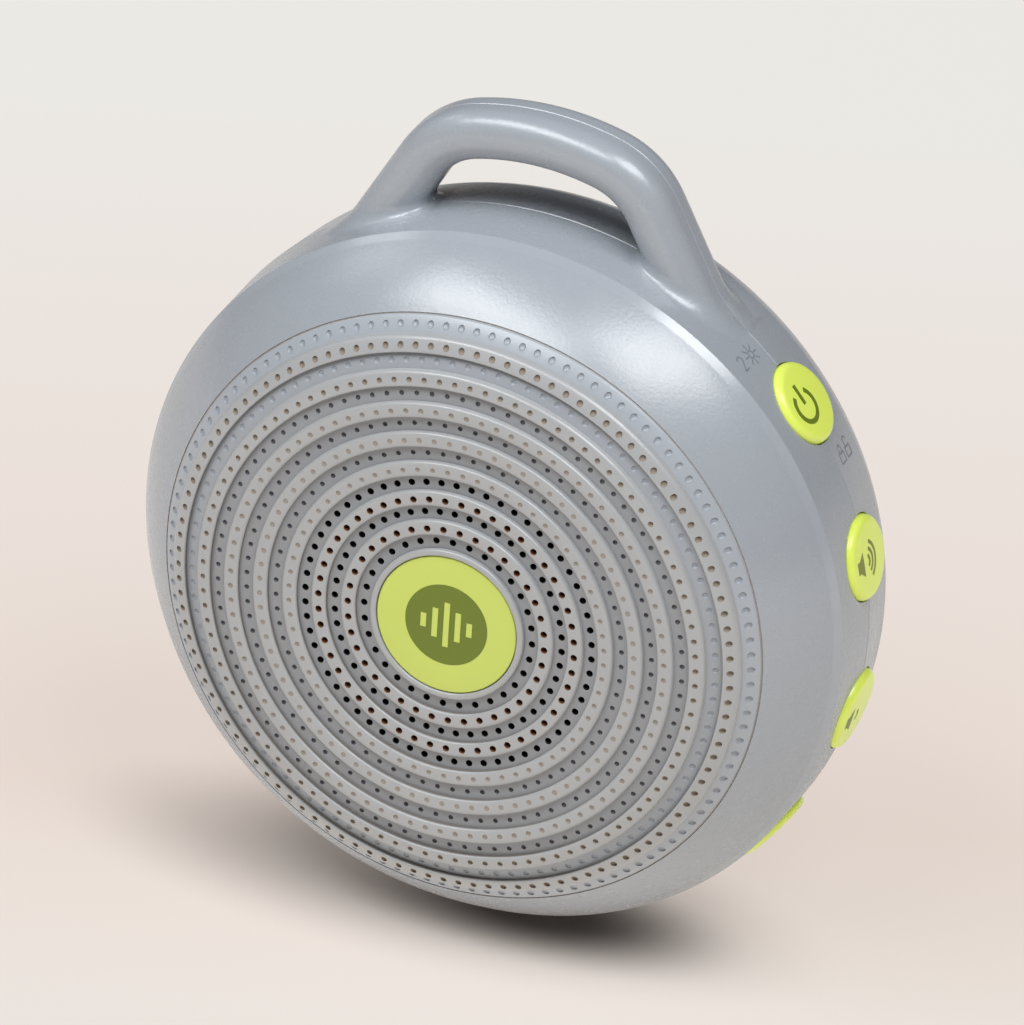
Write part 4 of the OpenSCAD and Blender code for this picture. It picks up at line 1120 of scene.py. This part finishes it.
def power_symbol():
    return Symbol(0.62).bend((0, -0.2), 2.02, 128, 284, 30).stroke((0, 0.0), (0, 2.6)).bm


def speaker_symbol(waves):
    """A loudspeaker with its sound waves."""
    drawn = Symbol(0.46)
    drawn.stroke((-2.45, 0), (-1.85, 0), 1.5)
    for k in range(8):
        drawn.stroke((-1.85 + 0.13 * k, 0), (-1.72 + 0.13 * k, 0), 1.6 + 0.2 * k)
    for k in range(waves):
        drawn.bend((0, 0), 0.75 + 0.84 * k, -62, 124, 12)
    return drawn.bm


def note_symbol():
    drawn = Symbol(0.34).dot((-1.15, -1.2), 0.62).dot((1.0, -0.85), 0.62)
    drawn.stroke((-0.7, -1.2), (-0.7, 1.5)).stroke((1.45, -0.85), (1.45, 1.85))
    return drawn.stroke((-0.75, 1.4), (1.55, 1.8), 0.62).bm


def button_cap(angle):
    """A button: its crowned top, the flange that holds it in and the stem that presses its switch."""
    crown_r = BUTTON_R - BUTTON_EDGE
    shoulder = BUTTON_TOP - crown_r ** 2 / (2 * BUTTON_CROWN_R) - BUTTON_EDGE
    line = Outline((0, BUTTON_TOP))
    for k in range(1, 5):
        r = crown_r * k / 4
        line.line((r, BUTTON_TOP - r * r / (2 * BUTTON_CROWN_R)))
    line.arc((crown_r, shoulder), -pi / 2, 10)
    line.line((BUTTON_R, FLANGE_TOP), (FLANGE_R, FLANGE_TOP), (FLANGE_R, FLANGE_FOOT), (STEM_R, FLANGE_FOOT),
              (STEM_R, STEM_FOOT), (0, STEM_FOOT))
    return moved(line.turned(96), spoke(angle) @ Matrix.Rotation(-pi / 2, 4, "Z"))


def make_buttons():
    symbols = [power_symbol(), speaker_symbol(3), speaker_symbol(1), note_symbol()]
    inks = ["printed_olive", "printed_pale_olive", "printed_pale_olive", "printed_olive"]
    for name, symbol, ink, angle in zip(BUTTON_NAMES, symbols, inks, BUTTON_ANGLES):
        body = name + "_key"
        piece = to_object(name + "_cap", button_cap(angle))
        finished(piece, body, ["button_plastic"], [name + "_button"])
        piece = to_object(name + "_symbol", laid(symbol, on_button(angle)))
        finished(piece, body, [ink])


def sun_symbol(middle):
    drawn = Symbol(0.17).bend(middle, 0.46, 0, 360, 16)
    for k in range(8):
        turn = Vector((cos(k * pi / 4), sin(k * pi / 4)))
        drawn.stroke(Vector(middle) + 0.62 * turn, Vector(middle) + 1.42 * turn)
    return drawn.bm


def two_symbol(left):
    drawn = Symbol(0.18).bend((left, 0.4), 0.48, -30, 190, 10)
    drawn.stroke((left + 0.4, 0.14), (left - 0.48, -0.95)).stroke((left - 0.55, -0.95), (left + 0.55, -0.95))
    return drawn.bm


def lock_symbol(left, opened):
    """A padlock, whose bow stands up and free on one side where it is open."""
    drawn = Symbol(0.19)
    for a, b in (((-0.7, -1.1), (0.7, -1.1)), ((0.7, -1.18), (0.7, 0.1)), ((0.7, 0.1), (-0.7, 0.1)),
                 ((-0.7, 0.18), (-0.7, -1.18))):
        drawn.stroke((a[0] + left, a[1]), (b[0] + left, b[1]))
    bow_foot = 0.5 + (0.45 if opened else 0.2)
    drawn.stroke((left - 0.4, 0.1), (left - 0.4, bow_foot)).bend((left, bow_foot), 0.4, 0, 180, 10)
    if not opened:
        drawn.stroke((left + 0.4, 0.1), (left + 0.4, bow_foot))
    return drawn.bm


def make_prints():
    """The signs on the side band, and the badge's patch with its level bars."""
    marks = {"night_light_mark": ((50.4, -3.9), [two_symbol(-1.35), sun_symbol((1.15, 0))]),
             "lock_mark": ((29.2, 3.2), [lock_symbol(-1.1, False), lock_symbol(1.1, True)])}
    for name, ((angle, depth), parts) in marks.items():
        piece = to_object(name, laid(joined(*parts), on_band(radians(angle), depth)))
        finished(piece, "casing", ["printed_grey"])
    patch = Symbol(PATCH_WIDTH).bend((0, 0), PATCH_MIDDLE_R, 0, 360, 72).dot((0, 0), 0.02)
    piece = to_object("badge_patch", laid(patch.bm, on_badge))
    finished(piece, "casing", ["printed_olive"])
    bars = Symbol(0.7)
    for k, reach in enumerate(BAR_REACHES):
        across = BAR_PITCH * (k - 2)
        bars.stroke((across, -reach), (across, reach))
    piece = to_object("badge_level_bars", laid(bars.bm, lambda x, y, z: on_badge(x, y, z + BARS_RISE)))
    finished(piece, "casing", ["disc_plastic"])


# ---- Finishes of the CAD pieces that show as they are
def dress_inner_pieces():
    for record in frame["record"]["subparts"]:
        dressed = frame["nodes"][record["node"]].data.materials
        dressed.clear()
        dressed.append(finishes[record["material_slot"]].material)


set_camera()
light_studio()
lay_floor()
make_casing()
make_grille()
make_hub()
make_buttons()
make_prints()
dress_inner_pieces()
